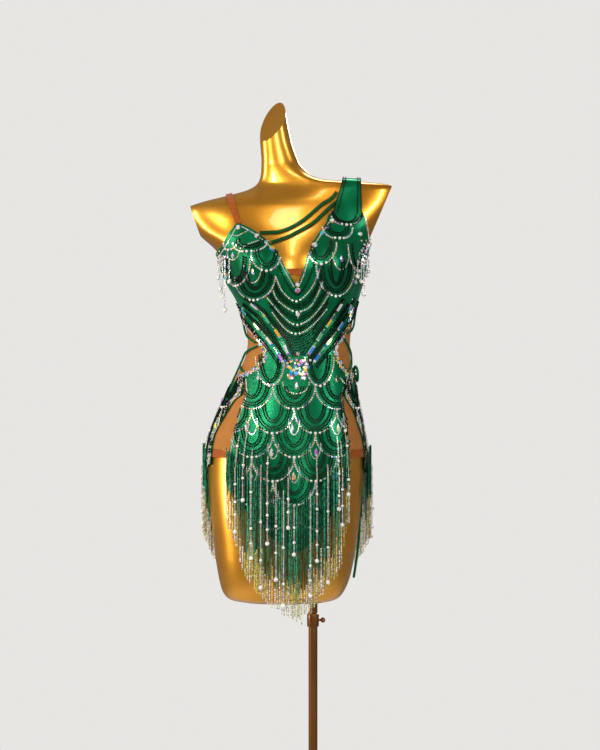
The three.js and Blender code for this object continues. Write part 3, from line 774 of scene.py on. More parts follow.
@dataclass(frozen=True)
class Cut:
    """Cut crystal with a foiled back, each facet tinted by the piece's tint attribute, whose flash colours
    are painted fire and glints.
    """

    name: str
    rough: float = 0.14
    metal: float = 0.4
    coat: float = 0.2
    shine: float = 0.5

    def make(self) -> bpy.types.Material:
        """A bright mirror-like facet under a clear coat, with a trace of noise in its polish.

        Returns:
            The material.
        """
        s = Shader(self.name)
        tint = s.node("Attribute", attribute_name="tint").outputs["Color"]
        wear = s.noise(1500.0, 2.0)
        s.fill(s.surface, {
            "Base Color": tint, "Metallic": self.metal,
            "Roughness": s.between(wear, self.rough, self.rough + 0.12),
            "Coat Weight": self.coat, "Coat Roughness": 0.05, "Specular IOR Level": self.shine,
        })
        return s.material


@dataclass(frozen=True)
class Pearl:
    """Round imitation pearl: milky, soft-lit, with a faint cloud in its lustre."""

    name: str

    def make(self) -> bpy.types.Material:
        """Tint attribute dimmed a little by cloudy noise, under a clear coat.

        Returns:
            The material.
        """
        s = Shader(self.name)
        tint = s.node("Attribute", attribute_name="tint").outputs["Color"]
        cloud = s.ramp(s.noise(400.0, 2.0), (0.86, 0.84, 0.8), (1, 1, 1))
        mix = s.node("Mix", {"Factor": 1.0, "6": tint, "7": cloud}, data_type="RGBA", blend_type="MULTIPLY")
        s.fill(s.surface, {
            "Base Color": mix.outputs[2], "Roughness": s.between(s.noise(700.0, 1.0), 0.16, 0.28),
            "Coat Weight": 0.8, "Coat Roughness": 0.08, "Sheen Weight": 0.3,
        })
        return s.material


@dataclass
class Finishes:
    """Every finish on the dress and its form, made once."""

    gold: bpy.types.Material = field(default_factory=lambda: GoldLacquer("gold_lacquer").make())
    metal: bpy.types.Material = field(
        default_factory=lambda: GoldLacquer("gold_metal", (150, 96, 40), (104, 60, 20), 0.3).make())
    satin: bpy.types.Material = field(default_factory=lambda: StretchSatin("emerald_satin").make())
    binding: bpy.types.Material = field(
        default_factory=lambda: StretchSatin("emerald_binding", (1, 84, 40), (3, 112, 58), 0.42).make())
    net: bpy.types.Material = field(default_factory=lambda: NudeKnit("nude_net").make())
    elastic: bpy.types.Material = field(
        default_factory=lambda: NudeKnit("nude_elastic", (158, 78, 8), (142, 66, 5), 1500.0).make())
    crystal: bpy.types.Material = field(default_factory=lambda: Cut("cut_crystal").make())
    bead: bpy.types.Material = field(default_factory=lambda: Cut("green_bead", 0.3, 0.0, 0.0, 0.14).make())
    pearl: bpy.types.Material = field(default_factory=lambda: Pearl("pearl").make())


# ---- the display form and its stand ----
@dataclass
class DisplayForm:
    """The smooth limbless form: its surface of sections, cut flat at the neck and at both arms.

    Attributes:
        around: Points round each section.
        blend: How many times the neck's root is smoothed.
        root: Middle x and z of the neck's root.
        reach: How far the smoothing reaches from it, across and up.
        cuts: For each cut, a point on it, its outward direction and the height it starts from.
    """

    around: int = 160
    blend: int = 700
    root: tuple[float, float] = (-58, 1488)
    reach: tuple[float, float] = (52, 26)
    cuts: Sequence[tuple[Sequence[float], Sequence[float], float]] = (
        ((-83, 0, 1608), (-0.56, -0.6, 0.56), 1520),
        ((-222, 0, 1375), (-70, 0, -24), 1358),
        ((105, 0, 1360), (119, 0, -51), 1356),
    )

    def blended(self, rings: Array) -> Array:
        """Rounds the crease where the neck grows out of the chest.

        Each point near the neck's root moves half its weight's way to its four neighbours' mean, again
        and again; the weight is 1 at the root and falls to 0 well short of the straps.

        Args:
            rings: The form's rings of points.

        Returns:
            The rings with the crease rounded.
        """
        (x, z), (wide, high) = self.root, self.reach
        near = ((rings[..., 0] - x) / wide) ** 4 + ((rings[..., 2] - z) / high) ** 4
        weight = 0.5 * np.exp(-near)[..., None]
        for _ in range(self.blend):
            mean = (
                np.roll(rings, 1, 1) + np.roll(rings, -1, 1) + np.roll(rings, 1, 0) + np.roll(rings, -1, 0)
            ) / 4
            rings = rings + weight * (mean - rings)
        return rings

    def surface(self) -> Solid:
        """Rings from the bottom to the neck, closer together on the shoulders, with both ends closed.

        Returns:
            The form before it is cut.
        """
        z = np.unique(np.concatenate([
            np.arange(652, 668, 1.0), np.arange(668, 1440, 6.0), np.arange(1440, 1506, 0.75),
            np.arange(1506, 1681, 5.0),
        ]))
        angle = np.arange(self.around) * 360 / self.around
        rings = self.blended(FORM.at(angle[None], z[:, None]))
        middle, _, _, _ = FORM.section(z)
        return tied_off(rings, np.array([middle[0], 0, z[0]]), np.array([middle[-1], 0, z[-1]]))

    def build(self, finishes: Finishes) -> bpy.types.Object:
        """Adds the form, cuts it and closes the cuts; it is shaded smooth, with edges that turn by more than
        28 degrees kept crisp.

        Args:
            finishes: The finishes of the dress and its form.

        Returns:
            The form.
        """
        piece = add_piece("display_form", self.surface(), finishes.gold, ["dress_form"], 180)
        work = bmesh.new()
        work.from_mesh(piece.data)
        for point, out, start in self.cuts:
            part = [v for v in work.verts if v.co.z > start * MM]
            wanted = set(part)
            edges = [e for e in work.edges if set(e.verts) <= wanted]
            faces = [f for f in work.faces if set(f.verts) <= wanted]
            done = bmesh.ops.bisect_plane(
                work,
                geom=part + edges + faces,
                plane_co=np.array(point) * MM,
                plane_no=out,
                clear_outer=True,
            )
            rim = [e for e in done["geom_cut"] if isinstance(e, bmesh.types.BMEdge)]
            bmesh.ops.contextual_create(work, geom=rim)
        bmesh.ops.recalc_face_normals(work, faces=work.faces)
        work.to_mesh(piece.data)
        work.free()
        piece.data.polygons.foreach_set("use_smooth", np.ones(len(piece.data.polygons), bool))
        piece.data.set_sharp_from_angle(angle=np.radians(28))
        return piece


@dataclass
class Stand:
    """The pole with its collar and thumb screw, and the round base with its socket."""

    base: Table = (
        (0, 0), (157.5, 0), (160, 1.2), (160, 6.6), (159.2, 8.2), (157, 9), (60, 9.6), (22, 10.4),
        (18, 11.6),
        (17, 13.5), (17, 24), (16.2, 25.6), (14.5, 26), (0, 26),
    )
    pole: Table = (
        (0, 26.3), (9, 26.3), (9, 330), (9, 602), (9.5, 602.4), (11.6, 603.5), (11.9, 606), (11.9, 626),
        (11.6, 628.5), (9.5, 629.6), (9, 630), (9, 651.7), (0, 651.7),
    )
    knob: Table = (
        (0, 0), (2.4, 0), (2.4, 3.4), (4.2, 4.4), (5.2, 6.4), (5.4, 8.2), (4.9, 10.4), (3.4, 12),
        (1.6, 12.5), (0, 12.5),
    )

    def build(self, finishes: Finishes) -> None:
        """Adds the three turned pieces; the knob is turned on its side and stands out of the pole.

        Args:
            finishes: The finishes of the dress and its form.
        """
        add_piece("round_base", turned(self.base, 128), finishes.metal, ["stand_base"], 30)
        add_piece(
            "pole_and_collar", turned(self.pole, 48), finishes.metal, ["stand_pole"], 30,
        )
        screw = turned(self.knob, 32)
        lying = np.stack([screw.points[:, 2] + 11.9, screw.points[:, 1], 616 - screw.points[:, 0]], axis=1)
        add_piece(
            "thumb_screw", Solid(lying, screw.faces), finishes.metal, ["stand_knob"], 40,
        )


# ---- the studio ----
@dataclass
class Studio:
    """The camera, the soft lights, the pale backdrop and the floor.

    Attributes:
        eye: Where the camera stands, level with the middle of its view.
        lens: Its focal length in millimetres, on a 36 mm sensor.
        softboxes: Name, place, aim, width, height, power in watts and colour of each area light.
    """

    eye: tuple[float, float, float] = (-0.026, -4.5, 1.106)
    lens: float = 108.0
    floor_radius: float = 2.0
    softboxes: Sequence[tuple] = (
        ("key", (-2.2, -2.7, 2.3), (0, 0, 1.15), 0.5, 1.3, 78, (1.0, 0.97, 0.92)),
        ("left_strip", (-2.6, -0.4, 1.3), (0, 0, 1.0), 0.35, 1.9, 42, (1.0, 0.94, 0.86)),
        ("right_strip", (2.5, -1.9, 1.7), (0, 0, 1.1), 0.3, 1.6, 34, (0.92, 0.96, 1.0)),
        ("front", (0.3, -4.0, 1.9), (0, 0, 1.2), 0.6, 1.6, 34, (1.0, 0.98, 0.95)),
        ("top", (0.3, 0.9, 3.2), (0, 0, 1.2), 0.6, 0.6, 20, (1.0, 1.0, 1.0)),
        ("high_front", (-0.05, -2.3, 3.3), (0, 0, 1.45), 0.3, 1.1, 11, (1.0, 0.98, 0.93)),
        ("back", (1.0, 3.2, 2.2), (0, 0, 1.1), 0.9, 1.2, 44, (1.0, 0.97, 0.92)),
    )

    def camera(self) -> None:
        """Stands the camera level in front of the dress, looking along +Y."""
        data = bpy.data.cameras.new("camera")
        data.lens, data.sensor_width = self.lens, 36.0
        camera = bpy.data.objects.new("camera", data)
        camera.location = self.eye
        camera.rotation_euler = (np.pi / 2, 0.0, 0.0)
        bpy.context.scene.collection.objects.link(camera)
        bpy.context.scene.camera = camera

    def lights(self) -> None:
        """Hangs the softboxes, each turned to its aim, and lights the pale backdrop."""
        for name, place, aim, width, height, power, colour in self.softboxes:
            data = bpy.data.lights.new(name, "AREA")
            data.shape, data.size, data.size_y = "RECTANGLE", width, height
            data.energy, data.color = power, colour
            lamp = bpy.data.objects.new(name, data)
            lamp.location = place
            lamp.rotation_euler = (Vector(aim) - Vector(place)).to_track_quat("-Z", "Y").to_euler()
            bpy.context.scene.collection.objects.link(lamp)
        world = bpy.data.worlds.new("backdrop")
        world.use_nodes = True
        tree = world.node_tree
        tree.nodes.clear()
        seen, felt = (tree.nodes.new("ShaderNodeBackground") for _ in range(2))
        seen.inputs["Color"].default_value = (0.80, 0.79, 0.77, 1)
        felt.inputs["Color"].default_value = (0.17, 0.16, 0.15, 1)
        rays, mix = tree.nodes.new("ShaderNodeLightPath"), tree.nodes.new("ShaderNodeMixShader")
        output = tree.nodes.new("ShaderNodeOutputWorld")
        tree.links.new(rays.outputs["Is Camera Ray"], mix.inputs[0])
        tree.links.new(felt.outputs[0], mix.inputs[1])
        tree.links.new(seen.outputs[0], mix.inputs[2])
        tree.links.new(mix.outputs[0], output.inputs[0])
        bpy.context.scene.world = world
        bpy.context.scene.view_settings.view_transform = "Standard"

    def floor(self) -> None:
        """Lays a pale round floor whose rim fades out."""
        turn = np.arange(96) * 2 * np.pi / 96
        rim = np.stack([np.cos(turn), np.sin(turn), np.zeros(96)], axis=1) * self.floor_radius
        mesh = bpy.data.meshes.new("floor")
        mesh.from_pydata([tuple(p) for p in rim], [], [tuple(range(96))])
        s = Shader("pale_floor")
        reach = s.node("VectorMath", {"0": s.place()}, operation="LENGTH").outputs["Value"]
        fade = s.node(
            "MapRange", {"Value": reach, "From Min": 0.9, "From Max": 1.9, "To Min": 1.0, "To Max": 0.0},
        )
        tone = s.ramp(s.noise(3.0), (0.52, 0.51, 0.50), (0.58, 0.57, 0.56))
        s.fill(s.surface, {"Base Color": tone, "Roughness": 0.7, "Alpha": fade.outputs[0]})
        mesh.materials.append(s.material)
        floor = bpy.data.objects.new("floor", mesh)
        floor.location.z = -0.001
        bpy.context.scene.collection.objects.link(floor)


# ---- the tie at the left hip ----
@dataclass
class HipTie:
    """A loop, its knot and the free tail that hangs past the fringe.

    Attributes:
        radius: Half the cord's thickness.
        loop: Points of the loop, from the knot round and back to it.
        tail: Angle, height and distance out from the form of points of the tail.
    """

    radius: float = 2.6
    knot: Sequence[float] = (82, -4, 1112)
    loop: Table = (
        (82, -10.5, 1117), (84, -15, 1123), (87, -19, 1120), (89, -20, 1111), (89, -19, 1100),
        (88, -15, 1094),
        (86, -11, 1099), (85, -9.5, 1105),
    )
    tail: Table = (
        (100, 1110, 9.4), (106, 1100, 9.4), (110, 1080, 9.4), (112, 1040, 9.4), (112, 985, 9.9),
        (111, 925, 9.9),
        (111, 870, 9.6), (111, 815, 12), (111, 760, 16), (111, 703, 19),
    )

    def strand(self, name: str, line: Array, finishes: Finishes) -> bpy.types.Object:
        """A round cord along a line.

        Args:
            name: The piece's name.
            line: Points of the line, close together.
            finishes: The finishes of the dress and its form.

        Returns:
            The cord.
        """
        outs = np.cross(np.gradient(line, axis=0), (0.31, 0.87, 0.19))
        body = tube(line, outs, 2 * self.radius, 2 * self.radius, 16)
        piece = add_piece(name, body, finishes.binding, [name.replace("cord", "tie")], 60)
        return piece

    def build(self, finishes: Finishes) -> None:
        """Adds the loop, the tail and the knot, which is an oval with three wraps pressed into it.

        Args:
            finishes: The finishes of the dress and its form.
        """
        rows = np.array(self.tail, float)
        self.strand("hip_cord_loop", catmull(self.loop, 56), finishes)
        self.strand(
            "hip_cord_tail", catmull(FORM.at(rows[:, 0], rows[:, 1], rows[:, 2]), 150), finishes,
        )
        u = np.linspace(0, np.pi, 26)[1:-1, None]
        v = np.linspace(0, 2 * np.pi, 32, endpoint=False)[None]
        ridge = 1 + 0.13 * np.cos(3 * v + 4 * u)
        size = np.array([4.2, 5.6, 4.2])
        ball = np.stack(
            [np.sin(u) * np.cos(v), np.sin(u) * np.sin(v), np.cos(u) + 0 * v], axis=-1,
        ) * ridge[..., None]
        points = np.vstack([ball.reshape(-1, 3), [0, 0, 1], [0, 0, -1]]) * size + np.array(self.knot)
        rows_count, around = ball.shape[:2]
        j = np.arange(around)
        k = (j + 1) % around
        low, high = rows_count * around, rows_count * around + 1
        base = (rows_count - 1) * around
        caps = np.vstack([
            np.stack([np.full(around, low), j, k], 1),
            np.stack([np.full(around, high), base + k, base + j], 1),
        ])
        skin = grid_faces(rows_count, around, True)[:, ::-1]
        add_piece(
            "hip_cord_knot", Solid(points, [skin, caps]), finishes.binding,
            ["hip_tie_knot"], 60,
        )


# ---- the cloth ----
@dataclass(frozen=True)
class Layer:
    """The inner and outer face of a cloth, as distances out from the form."""

    inner: float
    outer: float


NET, HEM_BAND, SATIN, STRAP = Layer(1.8, 2.9), Layer(1.8, 3.3), Layer(4.9, 6.2), Layer(1.8, 3.3)
SEAM = 0.6


def cloth(
    name: str, marks: Array, layer: Layer, material: bpy.types.Material, node: str,
    closed: bool = False,
) -> bpy.types.Object:
    """A wall of cloth on the form from a grid of angles and heights.

    Args:
        name: The piece's name.
        marks: Grid of angle and height.
        layer: Where its two faces lie.
        material: Its finish.
        node: The frame's node that it replaces.
        closed: Whether its last column joins its first.

    Returns:
        The new piece.
    """
    inner, outer = (FORM.at(marks[..., 0], marks[..., 1], lift) for lift in (layer.inner, layer.outer))
    piece = add_piece(name, shell(inner, outer, closed), material, [node], 50)
    return piece


@dataclass
class NetSlip:
    """The nude net slip that shows at the waist and under the slits, with its elastic hem."""

    hem: float = 943.0
    band: float = 15.0
    top: float = 1262.0

    def build(self, finishes: Finishes) -> None:
        """Adds the net tube and the hem band, each closed all round.

        Args:
            finishes: The finishes of the dress and its form.
        """
        angle = np.arange(144) * 360 / 144
        for name, node, low, high, layer, finish, slot, rows in (
            (
                "net_slip", "slip_net", self.hem + self.band + SEAM, self.top, NET, finishes.net,
                "nude_net", 80,
            ),
            (
                "net_slip_hem", "slip_hem", self.hem, self.hem + self.band, HEM_BAND, finishes.elastic,
                "nude_elastic", 8,
            ),
        ):
            z = np.linspace(low, high, rows)
            marks = np.stack(np.broadcast_arrays(angle[None], z[:, None]), axis=-1)
            cloth(name, marks, layer, finish, node, closed=True)


SIDE = 104.0
CUP_TOPS = (
    ((A, -SIDE, 1338), (A, -92, 1346), (X, -180, 1359), (X, -169, 1374), (X, -158, 1391), (X, -151, 1400),
     (X, -139, 1400), (X, -111, 1383), (X, -82, 1358), (X, -64, 1331), (X, -46, 1303), (X, -34, 1282)),
    ((X, -32, 1282), (X, -18, 1312), (X, -9, 1340), (X, 1, 1363), (X, 14, 1386), (X, 24, 1402), (X, 38, 1425),
     (X, 94, 1424), (X, 100, 1403), (X, 104, 1383), (X, 105, 1365), (A, 91, 1350), (A, SIDE, 1340)),
)
CUP_SEAMS = (
    ((A, -SIDE, 1266), (A, -90, 1268), (X, -145, 1265), (X, -124, 1260), (X, -100, 1259), (X, -78, 1264),
     (X, -56, 1271), (X, -34, 1274)),
    ((X, -32, 1274), (X, -12, 1273), (X, 10, 1268), (X, 41, 1264), (X, 64, 1266), (X, 80, 1268),
     (A, 92, 1270),
     (A, SIDE, 1268)),
)
MIDRIFF_SIDES = (
    ((X, -130, 1104), (X, -122, 1111), (X, -111, 1121), (X, -102, 1135), (X, -96, 1152), (X, -101, 1170),
     (X, -112, 1188), (X, -122, 1203), (X, -130, 1220), (X, -136, 1233), (A, -76, 1240), (A, -83, 1246),
     (A, -90, 1253), (A, -97, 1260), (A, -SIDE, 1266 - SEAM)),
    ((X, 67, 1111), (X, 61, 1118), (X, 52, 1130), (X, 43, 1142), (X, 39, 1155), (X, 42, 1166), (X, 49, 1179),
     (X, 61, 1194), (X, 67, 1210), (X, 73, 1228), (A, 75, 1238), (A, 82, 1245), (A, 90, 1253),
     (A, 97, 1260),
     (A, SIDE, 1268 - SEAM)),
)
WAIST = (
    (X, -130, 1104), (X, -98, 1092), (X, -64, 1084), (X, -30, 1081), (X, 6, 1085), (X, 40, 1096),
    (X, 67, 1111),
)
FRONT_SIDES = (
    ((X, -168, 893), (X, -164, 943), (X, -159, 966), (X, -151, 998), (X, -143, 1027), (X, -136, 1046),
     (X, -129, 1072), (X, -130, 1104 - SEAM)),
    (
        (X, 68, 916), (X, 67, 943), (X, 65, 989), (X, 61, 1016), (X, 56, 1045), (X, 55, 1072),
        (X, 67, 1111 - SEAM),
    ),
)
FRONT_HEM = (
    (X, -168, 893), (X, -124, 836), (X, -76, 786), (X, -32, 762), (X, 10, 796), (X, 44, 856), (X, 68, 916),
)
BACK_TOP = (
    (X, -132, 1103), (X, -147, 1094), (A, -80, 1082), (A, -98, 1066), (A, -125, 1052), (A, -155, 1044),
    (A, -180, 1042), (A, -210, 1047), (A, -240, 1058), (A, -265, 1075), (A, -284, 1093), (XR, 69, 1110),
)
BACK_HEM = (
    (X, -198, 930), (A, -90, 918), (A, -120, 890), (A, -150, 852), (A, -180, 824), (A, -210, 852),
    (A, -240, 890), (A, -266, 914), (XR, 97, 920),
)
SLITS = (
    ((X, -198, 930), (X, -196, 952), (X, -194, 970), (X, -189, 989), (X, -179, 1008), (X, -165, 1032),
     (X, -150, 1055), (X, -134, 1071), (X, -132, 1103)),
    (
        (XR, 97, 920), (XR, 97, 951), (XR, 94, 975), (XR, 86, 1001), (XR, 74, 1035), (XR, 57, 1070),
        (XR, 69, 1110),
    ),
)
BAND_TOP = (
    (A, SIDE + 0.5, 1339), (A, 130, 1334), (A, 155, 1330), (A, 180, 1328), (A, 205, 1329), (A, 230, 1332),
    (A, 359.5 - SIDE, 1337),
)
BAND_BOTTOM = (
    (A, SIDE + 0.5, 1268), (A, 140, 1272), (A, 180, 1276), (A, 220, 1271), (A, 359.5 - SIDE, 1266),
)


@dataclass
class SatinPanels:
    """The six satin panels: two cups, the midriff, the back band, and the skirt's front and back.

    Attributes:
        fineness: Grid columns to each step of the bust seam.
        rows: Grid rows of a long panel.
    """

    fineness: int = 6
    rows: int = 80
    trims: dict[str, list[bpy.types.Object]] = field(default_factory=dict)

    def build(self, finishes: Finishes) -> None:
        """Adds every panel. Seams that meet share one curve, moved down by the seam's gap.

        Args:
            finishes: The finishes of the dress and its form.
        """
        tops = [FORM.marks(t) for t in CUP_TOPS]
        seams = [FORM.marks(s) for s in CUP_SEAMS]
        counts = [(len(t) - 1) * self.fineness for t in tops]
        highs = [catmull(t, n) for t, n in zip(tops, counts)]
        lows = [catmull(s, n) for s, n in zip(seams, counts)]
        for name, node, low, high in zip(("right_cup", "left_cup"), ("cup_right", "cup_left"), lows, highs):
            sides = [straight(low[i], high[i], 48) for i in (0, -1)]
            self.panel(name, node, coons(low, high, *sides), finishes, 0.97)
        drop = np.array([0.0, SEAM])
        steps = [len(t) - 1 for t in tops]
        shares = np.concatenate([
            np.linspace(0, steps[0], counts[0] + 1), steps[0] + 1 + np.linspace(0, steps[1], counts[1] + 1),
        ]) / (sum(steps) + 1)
        waist = catmull(FORM.marks(WAIST), shares)
        sides = [catmull(FORM.marks(s), self.rows) for s in MIDRIFF_SIDES]
        self.panel("midriff", "midriff_front", coons(waist, np.vstack(lows) - drop, *sides), finishes, 0.93)
        sides = [catmull(FORM.marks(s), self.rows) for s in FRONT_SIDES]
        hem = catmull(FORM.marks(FRONT_HEM), shares)
        self.panel("front_skirt", "skirt_front", coons(hem, waist - drop, *sides), finishes, 0.95)
        sides = [catmull(FORM.marks(s), self.rows) for s in SLITS]
        top, hem = (catmull(FORM.marks(edge), 208) for edge in (BACK_TOP, BACK_HEM))
        self.panel("back_skirt", "skirt_back", coons(hem, top, *sides), finishes, 0.95)
        top, bottom = (catmull(FORM.marks(edge), 112) for edge in (BAND_TOP, BAND_BOTTOM))
        sides = [straight(bottom[i], top[i], 28) for i in (0, -1)]
        self.panel("back_strap_band", "back_band", coons(bottom, top, *sides), finishes, 0.93)

    def panel(self, name: str, node: str, marks: Array, finishes: Finishes, cut: float) -> None:
        """One satin wall over a grid of angles and heights."""
        cloth(name, marks, SATIN, finishes.satin, node)


@dataclass
class Straps:
    """The wide satin strap, the thin nude one, the armhole elastic and the bridge between the cups."""

    wide: Table = (
        (38.4, 1426, 60, 22, 1336), (57, 1425.6, 71, 36, 1336), (75, 1425.2, 82, 50, 1337),
        (93.6, 1425, 93, 64, 1338),
    )
    nude: Table = ((-153, 1404, -174, -152, 1341), (-141, 1404, -161, -140, 1341))
    armhole: Table = ((100, 1347), (102, 1362), (109, 1384), (122, 1410), (142, 1438))
    steps: int = 60

    def over(self, row: Array, lift: float) -> Array:
        """A line up the front of a shoulder, over its crest and down the back, off the form by lift.

        Args:
            row: Front x and z, crest x, back x and back z.
            lift: Distance off the form.

        Returns:
            The points of the line.
        """
        front_x, front_z, crest_x, back_x, back_z = row
        i = np.arange(2 * self.steps + 1)
        rise = np.sin(np.minimum(i, 2 * self.steps - i) / self.steps * np.pi / 2)
        before = i <= self.steps
        start_x, start_z = np.where(before, front_x, back_x), np.where(before, front_z, back_z)
        x = start_x + (crest_x - start_x) * rise
        crest = float(FORM.crest(np.array(crest_x))) - 0.05
        z = np.minimum(start_z + (crest - start_z) * rise, FORM.crest(x) - 0.05)
        angle = FORM.angle(x, z)
        return FORM.at(np.where(before, angle, 180 - angle), z, lift)

    def band(
        self, name: str, node: str, edges: Table, layer: Layer, across: int,
        material: bpy.types.Material, slot: str,
    ) -> None:
        """A strap whose edges each go over the shoulder, with even strips between them.

        Args:
            name: The piece's name.
            node: The frame's node that it stands for.
            edges: The strap's edges, each as a row for over.
            layer: The cloth's two faces.
            across: Number of strips.
            material: Its finish.
            slot: Not used.
        """
        rows = catmull(np.array(edges, float), across)
        faces = [
            np.stack([self.over(row, lift) for row in rows], axis=1) for lift in (layer.inner, layer.outer)
        ]
        piece = add_piece(name, shell(*faces), material, [node], 50)

    def build(self, finishes: Finishes) -> None:
        """Adds the two straps, the armhole elastic and the bridge band.

        Args:
            finishes: The finishes of the dress and its form.
        """
        self.band("wide_strap", "strap_wide", self.wide, SATIN, 18, finishes.satin, "green_satin")
        self.band("nude_strap", "strap_nude", self.nude, STRAP, 6, finishes.elastic, "nude_elastic")
        marks = catmull(np.array(self.armhole, float), 40)
        line = FORM.at(marks[:, 0], marks[:, 1], 3.2)
        body = tube(line, FORM.out(line), 8, 1.4, 16, 5)
        add_piece("armhole_elastic", body, finishes.elastic, ["strap_armhole"], 50)
        edges = [FORM.marks(((X, a, z), (X, b, z))) for a, b, z in ((-44.5, -24, 1302), (-51.5, -19, 1314))]
        low, high = (catmull(e, 24) for e in edges)
        marks = coons(low, high, straight(low[0], high[0], 8), straight(low[-1], high[-1], 8))
        faces = [FORM.at(marks[..., 0], marks[..., 1], lift) for lift in (SATIN.inner, SATIN.outer)]
        add_piece("cup_bridge", shell(*faces), finishes.elastic, ["bridge_band"], 50)


@dataclass
class BodiceCords:
    """The two chest cords that run to the wide strap, and the cords laced at the sides and hips."""

    chest: Sequence[tuple[str, Sequence]] = (
        (
            "chest_cord_upper",
            ((X, -104, 1383), (X, -86, 1384), (X, -60, 1388), (X, -16, 1412), (X, 27, 1448), (X, 46, 1466)),
        ),
        (
            "chest_cord_lower",
            (
                (X, -82, 1363.4), (X, -64, 1370.5), (X, -43, 1379), (X, -3, 1402), (X, 24, 1427),
                (X, 45, 1446),
            ),
        ),
    )
    side: Sequence[tuple[str, Sequence]] = (
        (
            "side_cord_upper_right",
            (
                (A, -112, 1258), (A, -97, 1236), (A, -90, 1210), (A, -82, 1190), (X, -119, 1177),
                (X, -110, 1170),
            ),
        ),
        (
            "side_cord_lower_right",
            (
                (X, -107, 1162), (X, -121, 1155), (A, -84, 1143), (A, -86, 1126), (X, -136, 1113),
                (X, -133, 1109),
            ),
        ),
        ("hip_cord_right", ((A, -93, 1124), (A, -96, 1108), (A, -98, 1090), (A, -100, 1072))),
        (
            "side_cord_upper_left",
            ((A, 112, 1260), (A, 98, 1240), (A, 92, 1216), (A, 78, 1198), (X, 62, 1189)),
        ),
        (
            "side_cord_lower_left",
            ((X, 57, 1178), (X, 65, 1162), (A, 80, 1144), (A, 76, 1126), (X, 67, 1117)),
        ),
        ("hip_cord_left", ((A, 97, 1119), (A, 98, 1106), (A, 100, 1094), (A, 102, 1086))),
    )

    def build(self, finishes: Finishes) -> None:
        """Adds each cord along its line on the form.

        Args:
            finishes: The finishes of the dress and its form.
        """
        for group, lift, wide, thick in ((self.chest, 3.4, 6.3, 2.2), (self.side, 6.4, 4.2, 4.2)):
            for name, outline in group:
                marks = catmull(FORM.marks(outline), 72)
                line = FORM.at(marks[:, 0], marks[:, 1], lift)
                body = tube(line, FORM.out(line), wide, thick, 16, 2.4)
                add_piece(name + "_cord", body, finishes.binding, [name], 60)


# ---- stones, beads and pearls ----
def prism(outline: Array, rings: Table) -> Solid:
    """One outline (u, v) scaled at each ring of scale and height, closed at both ends.

    Args:
        outline: The outline, as rows of u and v.
        rings: Rows of scale and height.

    Returns:
        The closed prism.
    """
    count = len(outline)
    points = np.vstack(
        [np.column_stack([outline * scale, np.full(count, height)]) for scale, height in rings]
    )
    around = np.arange(count)
    top = (len(rings) - 1) * count + around
    return Solid(points, [grid_faces(len(rings), count, True), around[None, ::-1], top[None]])


def polygon(sides: int) -> Array:
    """A regular outline of diameter one."""
    turn = (np.arange(sides) + 0.5) * 2 * np.pi / sides
    return np.stack([np.cos(turn), np.sin(turn)], axis=1) / 2


def pear(sides: int, tips: int) -> Array:
    """A drop with one pointed end, or a boat shape with two: u = sin(t) narrowed towards each tip.

    Args:
        sides: Number of sides round it.
        tips: How many pointed ends, one or two.

    Returns:
        The outline, as rows of u and v.
    """
    turn = np.arange(sides) * 2 * np.pi / sides
    narrow = np.sin(turn / 2) if tips == 1 else np.abs(np.sin(turn))
    return np.stack([-np.sin(turn) * narrow**0.9, np.cos(turn)], axis=1) / 2


class Kind(Enum):
    """A small thing that is sewn on in numbers, as its template."""

    STONE = "round cut stone"
    BAGUETTE = "long cut stone"
    DROP = "teardrop stone"
    BOAT = "pointed oval stone"
    BEAD = "seed bead"
    PEARL = "pearl"

    def template(self) -> Solid:
        """Its shape, one wide, one long and as high as its rings say.

        Returns:
            The shape.
        """
        if self is Kind.STONE:
            return prism(polygon(6), ((0.84, 0.0), (1.0, 0.14), (0.68, 0.4)))
        if self is Kind.BAGUETTE:
            return prism(
                np.array([[0.5, -0.5], [0.5, 0.5], [-0.5, 0.5], [-0.5, -0.5]]),
                ((1.0, 0.0), (1.0, 0.2), (0.72, 0.5)),
            )
        if self is Kind.DROP:
            return prism(pear(10, 1), ((0.9, 0.0), (1.0, 0.15), (0.55, 0.4)))
        if self is Kind.BOAT:
            return prism(pear(10, 2), ((0.9, 0.0), (1.0, 0.15), (0.55, 0.4)))
        if self is Kind.BEAD:
            return prism(polygon(4), ((0.66, -0.5), (1.0, 0.0), (0.66, 0.5)))
        turn = np.linspace(0.14, np.pi - 0.14, 6)
        return prism(polygon(9), tuple(zip(np.sin(turn), -np.cos(turn) / 2)))


WHITE, CREAM, ROSE = (0.86, 0.86, 0.88), (0.84, 0.76, 0.52), (0.86, 0.58, 0.62)
# Painted fire and glints: coloured, white and near-black facets stand in for light that cut stones throw
# back.
PAINTED_FLASHES = np.array([
    (0.98, 0.72, 0.06), (1.0, 0.86, 0.25), (0.95, 0.45, 0.05), (0.04, 0.28, 0.90), (0.12, 0.72, 0.85),
    (0.82, 0.12, 0.50), (0.42, 0.16, 0.80), (0.15, 0.70, 0.35), (1.0, 1.0, 1.0), (0.12, 0.10, 0.10),
])
DARK_GREEN, MID_GREEN = (0.0006, 0.004, 0.002), (0.002, 0.040, 0.018)
# The fringe strings' greens run from shaded to bright: painted shade and painted light, one picked for each
# string.
STRING_GREENS_SHADE_TO_LIGHT = ((0.003, 0.045, 0.020), (0.006, 0.110, 0.050), (0.012, 0.170, 0.080), (0.02, 0.26, 0.13))
LEMON, PEARL_WHITE = (0.66, 0.64, 0.16), (0.88, 0.85, 0.80)


